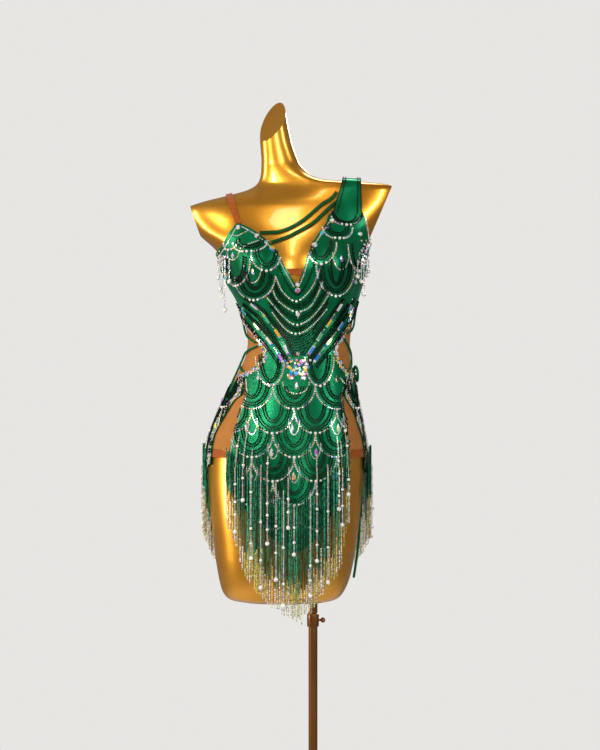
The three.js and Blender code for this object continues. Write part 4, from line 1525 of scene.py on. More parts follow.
@dataclass
class Handful:
    """Things of one kind with their places, directions, sizes and tints, as arrays of equal length."""

    kind: Kind
    centres: Array
    along: Array
    out: Array
    sizes: Array
    tints: Array
    flash: float

    def solid(self, rng: np.random.Generator) -> Solid:
        """Every copy of the template: centre + u * across + v * along + w * out, each by its size.

        A bead's and a pearl's length runs along the string, so their w is along instead of out. The
        share of faces that flash says takes a random flash colour in place of the tint: painted fire and
        glints.

        Args:
            rng: The seeded source of random numbers.

        Returns:
            All the copies as one solid, with a tint for each face.
        """
        template = self.kind.template()
        across = np.cross(self.along, self.out)
        across /= np.maximum(np.linalg.norm(across, axis=1, keepdims=True), 1e-9)
        strung = self.kind in (Kind.BEAD, Kind.PEARL)
        second, third = (self.out, self.along) if strung else (self.along, self.out)
        p, s = template.points[None], self.sizes[:, None]
        points = self.centres[:, None] + sum(
            axis[:, None] * (p[..., i:i + 1] * s[..., i:i + 1])
            for i, axis in enumerate((across, second, third))
        )
        count = len(self.centres)
        start = (np.arange(count) * len(template.points))[:, None, None]
        faces, tints = [], []
        for block in template.faces:
            turned_block = block[:, ::-1] if strung else block
            faces.append((turned_block[None] + start).reshape(-1, block.shape[1]))
            # Painted fire and glints: a share of the facets take a flash colour in place of the tint.
            picked = PAINTED_FLASHES[rng.integers(0, len(PAINTED_FLASHES), (count, len(block)))]
            shade = rng.uniform(0.7, 1.15, (count, len(block), 1))
            hit = rng.uniform(0, 1, (count, len(block), 1)) < self.flash
            mixed = np.where(hit, picked, self.tints[:, None])
            tints.append((mixed * shade).reshape(-1, 3))
        return Solid(points.reshape(-1, 3), faces, np.vstack(tints))


def merged(solids: Sequence[Solid]) -> Solid:
    """Several tinted solids as one.

    Args:
        solids: The solids to join.

    Returns:
        The one solid.
    """
    starts = np.cumsum([0] + [len(s.points) for s in solids[:-1]])
    faces = [block + start for s, start in zip(solids, starts) for block in s.faces]
    return Solid(np.vstack([s.points for s in solids]), faces, np.vstack([s.tints for s in solids]))


@dataclass
class StoneWork:
    """Gathers what is sewn on one part of the dress, then makes it a mesh for each finish.

    Attributes:
        area: The part's name.
        seed: Starts the random draws.
        stone, bead: Usual sizes of a chain's stones and of a dark bead.
    """

    area: str
    seed: int
    stone: float = 4.4
    bead: float = 3.9
    handfuls: list[Handful] = field(default_factory=list)
    rng: np.random.Generator = field(init=False)

    def __post_init__(self) -> None:
        """Starts the area's own random draws."""
        self.rng = np.random.default_rng(self.seed)

    def set(
        self, kind: Kind, centres: Array, along: Array, sizes: Array, tints: Array, flash: float = 0.0,
        out: Array | None = None,
    ) -> None:
        """Adds things at centres; sizes is (n, 3) or (3,), and out is the form's own unless given.

        Args:
            kind: The kind of thing that is set.
            centres: Their centres.
            along: The direction of their length, one or for each.
            sizes: Width, length and height, one row or one for each.
            tints: Colour, one or for each.
            flash: Share of faces painted with a random flash colour, a stand-in for fire and glints.
            out: The outward directions.
        """
        count = len(centres)
        if count:
            facing = FORM.out(centres) if out is None else np.broadcast_to(out, (count, 3))
            self.handfuls.append(Handful(
                kind, centres, np.broadcast_to(along, (count, 3)), facing,
                np.broadcast_to(sizes, (count, 3)),
                np.broadcast_to(tints, (count, 3)), flash))

    def on_satin(self, marks: Array, lift: float = 0.0) -> Array:
        """Points on the satin's outer face at rows of angle and height."""
        return FORM.at(marks[:, 0], marks[:, 1], SATIN.outer + lift)

    def front(self, points: Table, steps: int = 90) -> Array:
        """A smooth line on the front through points of x and z, as rows of angle and height."""
        line = catmull(np.array(points, float), steps)
        return np.column_stack([FORM.angle(line[:, 0], line[:, 1]), line[:, 1]])

    def chain(self, marks: Array, size: float | None = None, pearls: int = 0, flash: float = 0.3) -> None:
        """A chain of stones along a line, with that many pearls, graded in size, at its lowest point.

        Args:
            marks: The line, as rows of angle and height.
            size: The stones' size; None takes the usual one.
            pearls: How many pearls.
            flash: Share of faces painted with a random flash colour, a stand-in for fire and glints.
        """
        size = size or self.stone
        points, along = spaced(self.on_satin(marks), size * 1.06)
        place = np.abs(np.arange(len(points)) - np.argmin(points[:, 2]))
        crowded = (place == 1) & (pearls > 0)
        is_pearl = (place % 2 == 0) & (place < pearls) & ~crowded
        tints = np.array([WHITE, CREAM, ROSE])[self.rng.choice(3, len(points), p=(0.5, 0.3, 0.2))]
        keep = ~is_pearl & ~crowded
        self.set(Kind.STONE, points[keep], along[keep], np.full(3, size), tints[keep], flash)
        if pearls:
            big = size * (1.42 - 0.13 * place[is_pearl])[:, None] * np.ones(3)
            lifted = points[is_pearl] + FORM.out(points[is_pearl]) * big[:, :1] * 0.45
            self.set(Kind.PEARL, lifted, along[is_pearl], big, PEARL_WHITE)

    def beads(self, marks: Array, size: float | None = None) -> None:
        """A row of dark beads sewn end to end along a line.

        Args:
            marks: The line, as rows of angle and height.
            size: The beads' size; None takes the usual one.
        """
        size = size or self.bead
        points, along = spaced(self.on_satin(marks, size * 0.42), size * 1.2)
        pick = self.rng.uniform(0, 1, (len(points), 1))
        tints = np.array(DARK_GREEN) + (np.array(MID_GREEN) - DARK_GREEN) * pick**4
        self.set(Kind.BEAD, points, along, np.full(3, size), tints)

    def band(
        self, marks: Array, half_width: float, pitch: float, low: float = 3.0, high: float = 6.5,
    ) -> None:
        """A band of mixed bright stones strewn to both sides of a line.

        Args:
            marks: The line, as rows of angle and height.
            half_width: Half the band's width.
            pitch: Distance between two stones along the line.
            low: Smallest stone.
            high: Largest stone.
        """
        points, along = spaced(self.on_satin(marks), pitch)
        out = FORM.out(points)
        side = np.cross(along, out)
        points = points + side * self.rng.uniform(-half_width, half_width, (len(points), 1))
        sizes = self.rng.uniform(low, high, (len(points), 1)) * np.ones(3)
        self.set(Kind.STONE, points, along, sizes, self.bright(len(points)), 0.3)

    def bright(self, count: int) -> Array:
        """Tints for large stones: most white or cream, the others a painted flash colour that stands in for
        fire.
        """
        palette = np.vstack([PAINTED_FLASHES[:7], [WHITE] * 6, [CREAM] * 2])
        return palette[self.rng.integers(0, len(palette), count)]

    def single(
        self, kind: Kind, x: float, z: float, size: tuple[float, float], lean: float = 0.0,
        flash: float = 0.65,
    ) -> None:
        """One large stone at x and z on the front, its tip leaning by that many degrees to +X.

        Args:
            kind: The kind of thing that is set.
            x: Distance to the right of the pole, in millimetres.
            z: Height, in millimetres.
            size: Its width and length.
            lean: Degrees that it leans.
            flash: Share of faces painted with a random flash colour, a stand-in for fire and glints.
        """
        centre = self.on_satin(self.front(((x, z), (x, z + 0.1)), 1))[:1]
        out = FORM.out(centre)
        up = np.array([[np.sin(np.radians(lean)), 0, np.cos(np.radians(lean))]])
        up = up - out * np.sum(up * out, axis=1, keepdims=True)
        up /= np.linalg.norm(up, axis=1, keepdims=True)
        self.set(kind, centre, up, np.array([size[0], size[1], max(size[0], 7.0)]), WHITE, flash)

    def build(self, finishes: Finishes) -> list[bpy.types.Object]:
        """Makes the crystals, the beads and the pearls one flat-faced or smooth mesh each.

        Args:
            finishes: The finishes of the dress and its form.

        Returns:
            The pieces that were made.
        """
        pieces = []
        for ending, kinds, finish, slot, sharp in (
            (
                "crystals", (Kind.STONE, Kind.BAGUETTE, Kind.DROP, Kind.BOAT), finishes.crystal,
                "crystal_strings", None,
            ),
            ("beads", (Kind.BEAD,), finishes.bead, "bead_strings", None),
            ("pearls", (Kind.PEARL,), finishes.pearl, "crystal_strings", 180),
        ):
            solids = [h.solid(self.rng) for h in self.handfuls if h.kind in kinds]
            if solids:
                pieces.append(add_piece(f"{self.area}_{ending}", merged(solids), finish, (), sharp))
        return pieces


@dataclass
class Scales:
    """Fish scales hung in staggered rows: each is half an oval between the row above's lowest points.

    Attributes:
        half, drop: Half a scale's width and one row's drop.
        centre: Where the odd rows have a scale's middle, by x or by angle.
        first: The lowest point of the row numbered 0.
        by: Whether half and centre are x or angles.
        insets: How far in the rows of dark beads lie, in millimetres.
    """

    half: float
    drop: float
    centre: float
    first: float
    by: By
    insets: Sequence[float] = (7.2, 11.8, 20.5, 25.0)

    def arc(self, middle: float, lowest: float, half: float, height: float) -> Array:
        """x = middle + half sin t, z = lowest + height (1 - cos t), for t from -90 to 90 degrees.

        Args:
            middle: Its middle, as x or as an angle.
            lowest: Height of its lowest point.
            half: Half its width.
            height: How high it rises.

        Returns:
            The arc, as rows of angle and height.
        """
        t = np.radians(np.linspace(-90, 90, 61))
        across, z = middle + half * np.sin(t), lowest + height * (1 - np.cos(t))
        return np.column_stack([FORM.angle(across, z) if self.by is X else across, z])

    def scale(
        self,
        work: StoneWork,
        middle: float,
        lowest: float,
        half: float,
        height: float,
        outlines: Sequence[Array] = (),
    ) -> None:
        """One scale: its chain with pearls at the bottom, and the dark rows inside it.

        Args:
            work: The stonework that takes the stones.
            middle: Its middle, as x or as an angle.
            lowest: Height of its lowest point.
            half: Half its width.
            height: How high it rises.
            outlines: It is kept where it lies in one of these; with none it is kept whole.
        """
        per_mm = 1.0 if self.by is X else half / 40.0
        chain = clipped(self.arc(middle, lowest, half, height), outlines)
        if len(chain) > 6:
            work.chain(chain, pearls=3 if len(chain) > 45 else 0)
        for inset in self.insets:
            narrow = half - inset * per_mm
            if narrow > 7.5 * per_mm and height > inset + 6:
                row = clipped(self.arc(middle, lowest + inset, narrow, height - inset * 0.55), outlines)
                if len(row) > 6:
                    work.beads(row)

    def lay(self, work: StoneWork, rows: range, reach: int, outline: Array, drops: bool) -> None:
        """Every scale of the rows, clipped to a panel, with a teardrop in a small loop under each.

        Args:
            work: The stonework that takes the stones.
            rows: Which rows.
            reach: How many scales to each side of the centre.
            outline: The panel's outline.
            drops: Whether teardrops hang under the scales.
        """
        for row in rows:
            shift = 0.5 if row % 2 == 0 else 0.0
            lowest = self.first - self.drop * row
            for j in range(-reach, reach + 1):
                middle = self.centre + (j + shift) * 2 * self.half
                self.scale(work, middle, lowest, self.half, self.drop, (outline,))
                hung = np.array(
                    [[float(FORM.angle(middle, lowest)) if self.by is X else middle, lowest - 36]]
                )
                if drops and inside(hung, outline)[0]:
                    centre = work.on_satin(hung)
                    work.set(Kind.DROP, centre, (0, 0, 1), np.array([10.0, 17, 9]), work.bright(1), 0.5)
                    loop = self.arc(middle, lowest - 49, self.half * 0.26, 30)
                    work.chain(loop, 2.8)


# Scales on the cups and the bust seam: middle x, lowest z, half width, height.
CUP_SCALES = (
    (-158, 1353, 14, 14), (-122, 1344, 31, 20), (-92, 1311, 27, 30), (-147, 1286, 27, 44),
    (-112, 1257, 37, 42),
    (62, 1399, 27, 16), (46, 1369, 28, 24), (16, 1322, 27, 38), (42, 1264, 34, 54), (82, 1312, 18, 46),
)
# Edge chains on the cups, as x and z.
CUP_LINES = (
    ((-150, 1392), (-160, 1372), (-172, 1355), (-180, 1344)),
    ((-138, 1394), (-112, 1377), (-84, 1352), (-68, 1329), (-52, 1303), (-38, 1280)),
    ((-28, 1280), (-16, 1306), (-6, 1335), (5, 1359), (18, 1382), (30, 1402)),
    ((100, 1420), (104, 1395), (106, 1370)), ((-155, 1380), (-146, 1377), (-136, 1381), (-125, 1387)),
    ((-138, 1352), (-122, 1360), (-100, 1367)),
)
# Large stones along the cups' edges: x, z and size.
CUP_EDGE_STONES = (
    (-145, 1393, 8), (-110, 1374, 8), (-82, 1350, 9), (-93, 1362, 6), (36, 1406, 8), (18, 1380, 8),
    (4, 1356, 9), (27, 1393, 6), (-30, 1284, 7), (-30, 1273, 8), (77, 1291, 7), (88, 1384, 7),
)
# Small loops with a teardrop: middle x, lowest z, half width, height, the drop's z.
CUP_LOOPS = ((-116, 1290, 15, 30, 1310), (-152, 1332, 12, 16, 1341), (50, 1313, 14, 28, 1332))
SWAGS = (
    ((-73, 1297), (-59, 1270), (-32, 1252), (-3, 1278), (15, 1315)),
    ((-77, 1272), (-70, 1256), (-49, 1238), (-31, 1231), (-8, 1240), (6, 1262), (18, 1290)),
    (
        (-88, 1259), (-74, 1241), (-57, 1221), (-43, 1209), (-31, 1205), (-17, 1210), (-2, 1222),
        (16, 1245), (30, 1270),
    ),
    ((-78, 1230), (-60, 1204), (-46, 1191), (-31, 1187), (-14, 1194), (4, 1211), (24, 1236)),
)
# The V's chains and the places of their long stones along them, as shares of the chain.
V_CHAINS = (
    ((-126, 1257), (-98, 1231), (-85, 1212), (-68, 1188), (-55, 1163), (-46, 1139)),
    ((-140, 1245), (-100, 1195), (-79, 1166), (-60, 1133), (-57, 1119)),
    ((55, 1254), (36, 1223), (16, 1190), (-3, 1157), (-13, 1140)),
    ((73, 1257), (62, 1226), (40, 1190), (16, 1155), (-3, 1126)),
)
LONG_STONES = (0.14, 0.40, 0.65, 0.90)
EDGE_BANDS = (
    (
        (-145, 1234), (-124, 1204), (-106, 1180), (-92, 1158), (-92, 1138), (-102, 1123), (-121, 1109),
        (-142, 1098),
    ),
    ((73, 1240), (64, 1206), (49, 1178), (40, 1160), (44, 1136), (56, 1117), (63, 1104)),
)


@dataclass
class BodiceStones:
    """Everything sewn on the cups, the midriff and the strap."""

    work: StoneWork = field(default_factory=lambda: StoneWork("bodice", 11))
    shape: Scales = field(default_factory=lambda: Scales(35, 40, 0, 0, X))

    def cups(self) -> None:
        """The cups' scales, loops, edge chains and large edge stones."""
        work = self.work
        cloths = [
            outline_of(
                catmull(FORM.marks(s), 60),
                catmull(FORM.marks(t), 60),
                FORM.marks(s)[:1],
                FORM.marks(s)[-1:],
            )
            for s, t in zip(CUP_SEAMS, CUP_TOPS)
        ]
        below = FORM.marks(((X, -170, 1275), (X, -170, 1180), (X, 95, 1180), (X, 95, 1275)))
        for middle, lowest, half, height in CUP_SCALES:
            self.shape.scale(work, middle, lowest, half, height, cloths + [below])
        for middle in (-82, 10):
            self.shape.scale(work, middle, 1083, 27, 56)
        for middle, lowest, half, height, drop in CUP_LOOPS:
            work.chain(self.shape.arc(middle, lowest, half, height), 3.0)
            work.single(Kind.DROP, middle, drop, (9, 14))
        for line in CUP_LINES:
            work.chain(work.front(line), 3.4)
        for x, z, size in CUP_EDGE_STONES:
            work.single(Kind.STONE, x, z, (size * 1.4, size * 1.4))

    def midriff(self) -> None:
        """The swags with double dark rows between them, and the rows packed under the last."""
        work = self.work
        lines = [work.front(swag) for swag in SWAGS]
        neck = work.front(((-68, 1316), (-50, 1284), (-31, 1264), (-12, 1288), (6, 1328)))
        work.beads(neck)
        for line in lines:
            work.chain(line, 3.8, pearls=5)
        for high, low in zip(lines, lines[1:]):
            for share in (0.38, 0.62):
                work.beads(high * (1 - share) + low * share)
        last = lines[-1]
        for i in range(8):
            keep = slice(10 + 4 * i, 91 - 10 - 4 * i)
            work.beads(last[keep] - np.array([0.0, 6.5 + 5.4 * i]))
        work.single(Kind.BOAT, -30, 1225, (9, 14))

    def vee(self) -> None:
        """The four slanting chains with long stones, each between dark rows."""
        work = self.work
        for points in V_CHAINS:
            marks = work.front(points)
            line, along = spaced(work.on_satin(marks), 4.1)
            share = np.linspace(0, 1, len(line))
            near = np.min(np.abs(share[:, None] - np.array(LONG_STONES)), axis=1) * len(line) * 4.1
            tints = np.array([WHITE, CREAM])[work.rng.integers(0, 2, len(line))]
            small = near > 12
            work.set(Kind.STONE, line[small], along[small], np.full(3, 3.6), tints[small], 0.4)
            at = (np.array(LONG_STONES) * (len(line) - 1)).astype(int)
            work.set(Kind.BAGUETTE, line[at], along[at], np.array([6.5, 20, 7]), WHITE, 0.6)
            side = np.cross(along, FORM.out(line))
            for shift in (-7.2, -11.2, 7.2, 11.2):
                row = line + side * shift
                angle, z = FORM.angle(row[:, 0], row[:, 2]), row[:, 2]
                work.beads(np.column_stack([angle, z]))

    def edges(self) -> None:
        """Mixed stones along the cut-away sides, and dark rows along the strap and its scallop."""
        work = self.work
        for points in EDGE_BANDS:
            marks = work.front(points)
            work.band(marks, 5.2, 1.5, 3.0, 6.4)
            work.chain(marks, 3.2)
        rows = catmull(np.array(Straps().wide, float), 12)
        strap = Straps()
        for row in (0, 2, 10, 12):
            line = strap.over(rows[row], SATIN.outer + 1.0)
            points, along = spaced(line, 5.0)
            work.set(Kind.BEAD, points, along, np.full(3, 3.6), DARK_GREEN)
        for lift in (0, 5):
            work.beads(
                work.front(
                    (
                        (36, 1424 - lift), (50, 1409 - lift), (66, 1404 - lift), (82, 1409 - lift),
                        (95, 1424 - lift),
                    )
                )
            )
        for name, outline in BodiceCords().chest:
            marks = catmull(FORM.marks(outline), 90)
            centre = FORM.at(marks[:, 0], marks[:, 1], 5.0)
            points, along = spaced(centre, 3.9)
            side = np.cross(along, FORM.out(points))
            for shift in (-2.3, 2.3):
                work.set(Kind.BEAD, points + side * shift, along, np.full(3, 2.5), DARK_GREEN)

    def brooch(self) -> None:
        """The cluster at the point of the V: strewn stones, a large round, two boats and a drop."""
        work = self.work
        fan = work.rng.uniform((-1, 0), (1, 1), (62, 2))
        x = -30 + fan[:, 0] * (12 + 18 * fan[:, 1])
        z = 1102 + fan[:, 1] * 36 - 5 * np.abs(fan[:, 0])
        marks = np.column_stack([FORM.angle(x, z), z])
        centres = work.on_satin(marks, 0.6)
        sizes = work.rng.uniform(4.5, 9.0, (len(x), 1)) * np.ones(3)
        work.set(Kind.STONE, centres, (0, 0, 1), sizes, work.bright(len(x)), 0.4)
        for kind, x, z, size, lean in (
            (Kind.STONE, -30, 1146, (10, 10), 0), (Kind.STONE, -33, 1108, (11, 11), 0),
            (Kind.BOAT, -46, 1101, (8, 15), -38),
            (Kind.BOAT, -20, 1101, (8, 15), 38), (Kind.DROP, -33, 1085, (11, 17), 0),
            (Kind.STONE, -44, 1118, (8, 8), 0),
            (Kind.STONE, -18, 1119, (8, 8), 0), (Kind.DROP, -105, 1100, (8, 14), 0),
            (Kind.DROP, 42, 1097, (8, 14), 0),
        ):
            work.single(kind, x, z, size, lean)

    def build(self, finishes: Finishes) -> None:
        """Lays every part of it and makes the meshes.

        Args:
            finishes: The finishes of the dress and its form.
        """
        self.cups()
        self.midriff()
        self.vee()
        self.edges()
        self.brooch()
        self.work.build(finishes)


def outline_of(bottom: Array, top: Array, left: Array, right: Array) -> Array:
    """A panel's closed outline from its four edges; left and right run upwards."""
    return np.vstack([bottom, right, top[::-1], left[::-1]])


@dataclass
class SkirtStones:
    """The scales on the skirt's front and back, and the chains along its slits."""

    def build(self, finishes: Finishes) -> None:
        """Lays the front, the back and the edges.

        Args:
            finishes: The finishes of the dress and its form.
        """
        front = StoneWork("front_skirt", 21)
        sides = [catmull(FORM.marks(s), 60) for s in FRONT_SIDES]
        outline = outline_of(catmull(FORM.marks(FRONT_HEM), 60), catmull(FORM.marks(WAIST), 60), *sides)
        shape = Scales(40.1, 46.4, -37.7, 1084.5, X)
        shape.lay(front, range(1, 7), 3, outline, True)
        for middle in (-80, 5):
            shape.scale(front, middle, 1084.5, 34, 44, (outline,))
        for middle in (-158, 83):
            shape.scale(front, middle, 1078, 40.1, 46.4, (outline,))
        front.chain(shape.arc(-34, 1068, 25, 22), 3.4)
        for side in sides:
            front.chain(side[4:-3] + np.array([1.6 if side is sides[0] else -1.6, 0.0]), 3.2)
        front.build(finishes)
        back = StoneWork("back_skirt", 31)
        slits = [catmull(FORM.marks(s), 60) for s in SLITS]
        top, hem = (catmull(FORM.marks(edge), 120) for edge in (BACK_TOP, BACK_HEM))
        # The edges run from the wearer's right slit round the back to the left one, so left comes last.
        outline = outline_of(hem, top, slits[0], slits[1])
        round_back = Scales(18.2, 46.4, -180, 1084.5, A)
        round_back.lay(back, range(0, 6), 4, outline, True)
        for slit, inward in zip(slits, (-2.0, 2.0)):
            back.chain(slit[2:-1] + np.array([inward, 0.0]), 3.2)
            back.band(slit[2:-1] + np.array([inward * 2.6, 0.0]), 4.5, 2.4, 3.0, 5.4)
            back.chain(slit[2:-1] + np.array([inward * 4.2, 0.0]), 3.6)
        back.build(finishes)
        band = StoneWork("back_band", 41)
        edges = [catmull(FORM.marks(edge), 120) for edge in (BAND_TOP, BAND_BOTTOM)]
        for edge, shift in zip(edges, (-3.5, 3.5)):
            band.chain(edge + np.array([0.0, shift]), 3.4)
        for share in (0.26, 0.34, 0.66, 0.74):
            band.beads(edges[0] * (1 - share) + edges[1] * share)
        band.build(finishes)


# ---- the fringes ----
# Strings with pearls on the front: x, top, bottom, heights of the pearls.
PEARL_STRINGS = (
    (-147, 985, 798, (967, 893, 858, 833, 800)), (-118, 960, 748, (878, 807, 778, 749)),
    (-88, 946, 777, (934, 856, 833, 805, 778)), (-72, 900, 707, (812, 760, 708)),
    (-49, 905, 808, (865, 839, 809)), (-38, 850, 755, (809, 780, 757)),
    (4, 950, 743, (874, 845, 802, 775, 744)),
    (-8, 880, 676, (735, 706, 677)), (61, 1030, 820, (997, 967, 901, 872)), (50, 975, 812, (882, 850, 813)),
    (44, 985, 842, (938, 913, 870, 844)), (-133, 1010, 860, (930, 905, 862)),
    (24, 930, 700, (840, 770, 702)),
    (-58, 880, 655, (770, 700, 657)), (-100, 930, 690, (820, 745, 692)),
)


@dataclass
class Fringe:
    """Strings of beads that hang straight down all round the hem, longest at the front and back points.

    Attributes:
        level: The height whose section the strings stand off.
        front: x, top and bottom of the front strings' envelope.
        back: Angle, top, bottom and distance out of the side and back strings' envelope.
    """

    level: float = 925.0
    bead: float = 3.9
    front: Table = (
        (-166, 958, 812), (-153, 945, 783), (-145, 932, 753), (-137, 924, 728), (-127, 912, 700),
        (-106, 893, 676),
        (-90, 880, 655), (-75, 868, 644), (-59, 857, 633), (-38, 848, 627), (-25, 846, 613), (-6, 862, 633),
        (6, 874, 660), (21, 895, 681), (34, 918, 696), (49, 938, 722), (58, 950, 790), (65, 958, 815),
    )
    back: Table = (
        (-78, 968, 806, 8.5), (-104, 948, 760, 8.5), (-130, 920, 704, 8.5), (-158, 880, 650, 8.5),
        (-182, 858, 618, 9), (-206, 880, 654, 10), (-230, 920, 709, 13.6), (-254, 948, 760, 13.8),
        (-276, 962, 796, 12),
    )

    def strings(self, work: StoneWork, angle: Array, top: Array, bottom: Array, out: Array) -> None:
        """Each string: dark and mid green beads above, pale cut beads in its lowest stretch, all with painted
        light and shade.

        Args:
            work: The stonework that takes the stones.
            angle: Each string's angle.
            top: Each string's top.
            bottom: Each string's bottom.
            out: Each string's distance off the form.
        """
        foot = FORM.at(angle, np.full(len(angle), self.level), out)
        facing = FORM.out(foot)
        facing[:, 2] = 0
        facing /= np.linalg.norm(facing, axis=1, keepdims=True)
        along = np.cross(facing, (0, 0, 1.0))
        rng = work.rng
        for i in range(len(angle)):
            count = int((top[i] - bottom[i]) / self.bead)
            drop = np.arange(count) * self.bead
            sway = 0.9 * np.sin(drop / rng.uniform(40, 90) + rng.uniform(0, 6.3)) * np.minimum(drop / 60, 1)
            centres = foot[i] + along[i] * sway[:, None]
            centres[:, 2] = top[i] - drop
            pale = drop > drop[-1] - rng.uniform(35, 85)
            # The string's green and each bead's random brightness are painted light and shade; the darker
            # beads stand in for the shade between beads.
            green = np.array(STRING_GREENS_SHADE_TO_LIGHT[rng.integers(0, 4)])
            shade = green * rng.uniform(0.3, 1.8, (count, 1))
            # The pale ends' random brightness is painted light and shade as well.
            ends = np.array(
                (LEMON, LEMON, WHITE, CREAM)[rng.integers(0, 4)]
            ) * rng.uniform(0.3, 1.2, (count, 1))
            size = np.array([3.0, 3.0, self.bead * 0.92])
            work.set(Kind.BEAD, centres[~pale], (0, 0, 1), size, shade[~pale], 0.0, facing[i])
            work.set(
                Kind.BEAD, centres[pale], (0, 0, 1), size * (1.0, 1.0, 0.8), ends[pale], 0.12, facing[i],
            )

    def lay_front(self) -> StoneWork:
        """Two layers of strings behind the strings with pearls.

        Returns:
            The front fringe's stonework.
        """
        work = StoneWork("front_fringe", 51)
        rows = np.array(self.front, float)
        for out, pitch, start in ((8.6, 4.3, -165), (10.9, 4.6, -162)):
            x = np.arange(start, 65, pitch)
            top, bottom = (np.interp(x, rows[:, 0], rows[:, c]) for c in (1, 2))
            top = top + work.rng.uniform(0, 6, len(x))
            bottom = bottom + work.rng.uniform(0, 26, len(x)) * work.rng.uniform(0, 1, len(x))
            angle = FORM.angle(x, np.full(len(x), self.level))
            self.strings(work, angle, top, bottom, np.full(len(x), out))
        for x, top, bottom, pearls in PEARL_STRINGS:
            self.pearl_string(work, float(FORM.angle(x, self.level)), top, bottom, pearls, 13.4)
        return work

    def pearl_string(
        self, work: StoneWork, angle: float, top: float, bottom: float, pearls: Sequence[float],
        out: float,
    ) -> None:
        """A string of small cut stones with pearls at their heights, the last one the largest.

        Args:
            work: The stonework that takes the stones.
            angle: Angle round the form, 0 at the front.
            top: Height of the top.
            bottom: Height of the bottom.
            pearls: Heights of the pearls.
            out: Distance off the form.
        """
        drop = np.arange(top, bottom, -3.4)
        near = np.min(np.abs(drop[:, None] - np.array(pearls)), axis=1) > 4
        foot = FORM.at(angle, self.level, out)
        surface = FORM.at(np.full(len(drop), angle), drop, SATIN.outer + 4.0)
        centres = np.where((drop > self.level)[:, None], surface, foot)
        centres[:, 2] = drop
        tints = np.array([WHITE, CREAM, ROSE])[work.rng.integers(0, 3, len(drop))]
        work.set(Kind.STONE, centres[near], (0, 0, 1), np.full(3, 3.3), tints[near], 0.4)
        height = np.array(pearls, float)
        sizes = np.where(np.arange(len(height)) == len(height) - 1, 9.0, 6.4)[:, None] * np.ones(3)
        place = FORM.at(np.full(len(height), angle), height, SATIN.outer + 5.0)
        place = np.where((height > self.level)[:, None], place, foot)
        place[:, 2] = height
        work.set(Kind.PEARL, place, (0, 0, 1), sizes, PEARL_WHITE)

    def lay_back(self) -> StoneWork:
        """One dense layer round the sides and back, with a few strings with pearls at the sides.

        Returns:
            The back fringe's stonework.
        """
        work = StoneWork("back_fringe", 61)
        rows = np.array(self.back, float)[::-1]
        for shift, pitch in ((0.0, 2.3), (2.0, 2.7)):
            angle = np.arange(-276, -78, pitch)
            top, bottom, out = (np.interp(angle, rows[:, 0], rows[:, c]) for c in (1, 2, 3))
            bottom = bottom + work.rng.uniform(0, 26, len(angle)) * work.rng.uniform(0, 1, len(angle))
            self.strings(work, angle, top + work.rng.uniform(0, 6, len(angle)), bottom, out + shift)
        for angle, top, bottom, pearls in (
            (-86, 1060, 862, (960, 905, 864)), (-91, 1040, 830, (938, 890, 832)),
            (-97, 1010, 800, (920, 860, 802)),
            (-271, 1050, 838, (960, 888, 840)), (-266, 1040, 800, (945, 870, 802)),
            (-260, 1010, 780, (900, 840, 782)),
            (-180, 900, 640, (820, 740, 642)), (-165, 915, 668, (840, 750, 670)),
            (-195, 915, 672, (835, 760, 674)),
        ):
            self.pearl_string(
                work, angle, top, bottom, pearls, float(np.interp(angle, rows[:, 0], rows[:, 3])) + 4,
            )
        return work

    def build(self, finishes: Finishes) -> dict[str, list[bpy.types.Object]]:
        """Makes both fringes and says which panel each hangs from.

        Args:
            finishes: The finishes of the dress and its form.

        Returns:
            The fringe's pieces for each panel's name.
        """
        trims = {}
        for panel, node, work in (
            ("front_skirt", "fringe_front", self.lay_front()),
            ("back_skirt", "fringe_back", self.lay_back()),
        ):
            trims[panel] = work.build(finishes)
            for piece in trims[panel]:
                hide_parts(node)
        return trims


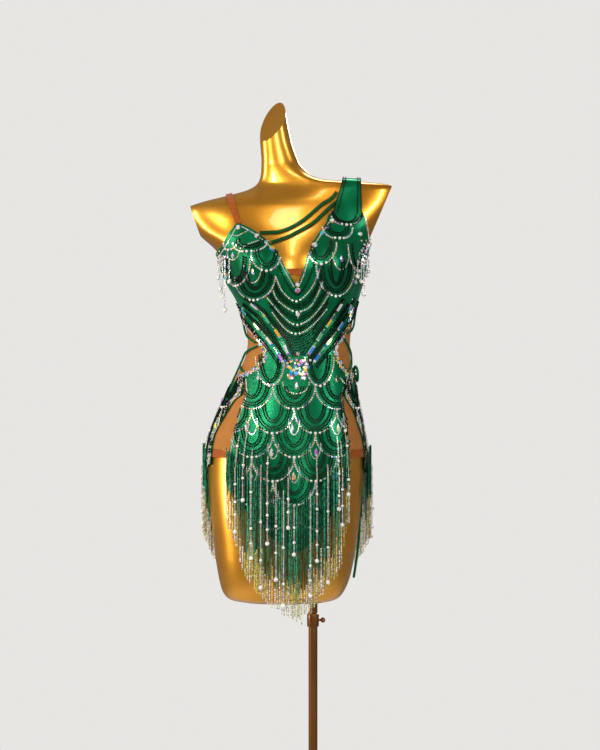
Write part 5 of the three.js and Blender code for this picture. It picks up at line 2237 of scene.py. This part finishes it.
@dataclass
class BustDrops:
    """The clusters of stones under the arms, with strings that end in pearls.

    Attributes:
        sides: For each side its node and name, the angle and height of the cluster, and each string's angle
            and bottom.
    """

    level: float = 1322.0
    sides: Sequence[tuple] = (
        (
            "bust_drops_right", "right_drops", -66, 1330,
            ((-79, 1300), (-72, 1276), (-66, 1262), (-61, 1234), (-54, 1290)),
        ),
        (
            "bust_drops_left", "left_drops", 68, 1352,
            ((55, 1300), (61, 1291), (66, 1266), (73, 1304), (81, 1312)),
        ),
    )

    def build(self, finishes: Finishes) -> None:
        """Adds each side's cluster and strings as one piece for each finish.

        Args:
            finishes: The finishes of the dress and its form.
        """
        for seed, (node, name, angle, height, strings) in enumerate(self.sides, 71):
            work = StoneWork(name, seed)
            spread = np.clip(work.rng.normal(0, 1, (46, 2)), -1.6, 1.6)
            marks = np.column_stack([angle + 6.5 * spread[:, 0], height + 16 * spread[:, 1]])
            centres = work.on_satin(marks, 1.5)
            sizes = work.rng.uniform(3.0, 7.5, (len(marks), 1)) * np.ones(3)
            work.set(Kind.STONE, centres, (0, 0, 1), sizes, np.array(WHITE) * 0.85, 0.3)
            for turn, bottom in strings:
                foot = FORM.at(float(turn), self.level, 11.0)
                drop = np.arange(1328 + work.rng.uniform(0, 8), bottom + 5, -3.5)
                points = np.repeat(foot[None], len(drop), axis=0)
                points[:, 2] = drop
                big = work.rng.uniform(3.0, 5.4, (len(drop), 1)) * np.ones(3)
                work.set(Kind.STONE, points, (0, 0, 1), big, np.array(WHITE) * 0.85, 0.25)
                work.set(
                    Kind.PEARL, np.array([[foot[0], foot[1], bottom]]), (0, 0, 1), np.full(3, 9.5),
                    PEARL_WHITE,
                )
            for piece in work.build(finishes):
                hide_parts(node)


def corners(box: tuple) -> list[list[float]]:
    """A box's two corners as plain lists."""
    return [[float(v) for v in corner] for corner in box]


def main() -> None:
    """Builds the dress and its form around the frame, piece by piece."""
    logging.basicConfig(level=logging.INFO, format="%(name)s: %(message)s")
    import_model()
    studio = Studio()
    studio.camera()
    finishes = Finishes()
    HipTie().build(finishes)
    studio.lights()
    studio.floor()
    DisplayForm().build(finishes)
    Stand().build(finishes)
    NetSlip().build(finishes)
    trims = Fringe().build(finishes)
    SatinPanels(trims=trims).build(finishes)
    Straps().build(finishes)
    BodiceCords().build(finishes)
    BodiceStones().build(finishes)
    SkirtStones().build(finishes)
    BustDrops().build(finishes)


if __name__ == "__main__":
    main()
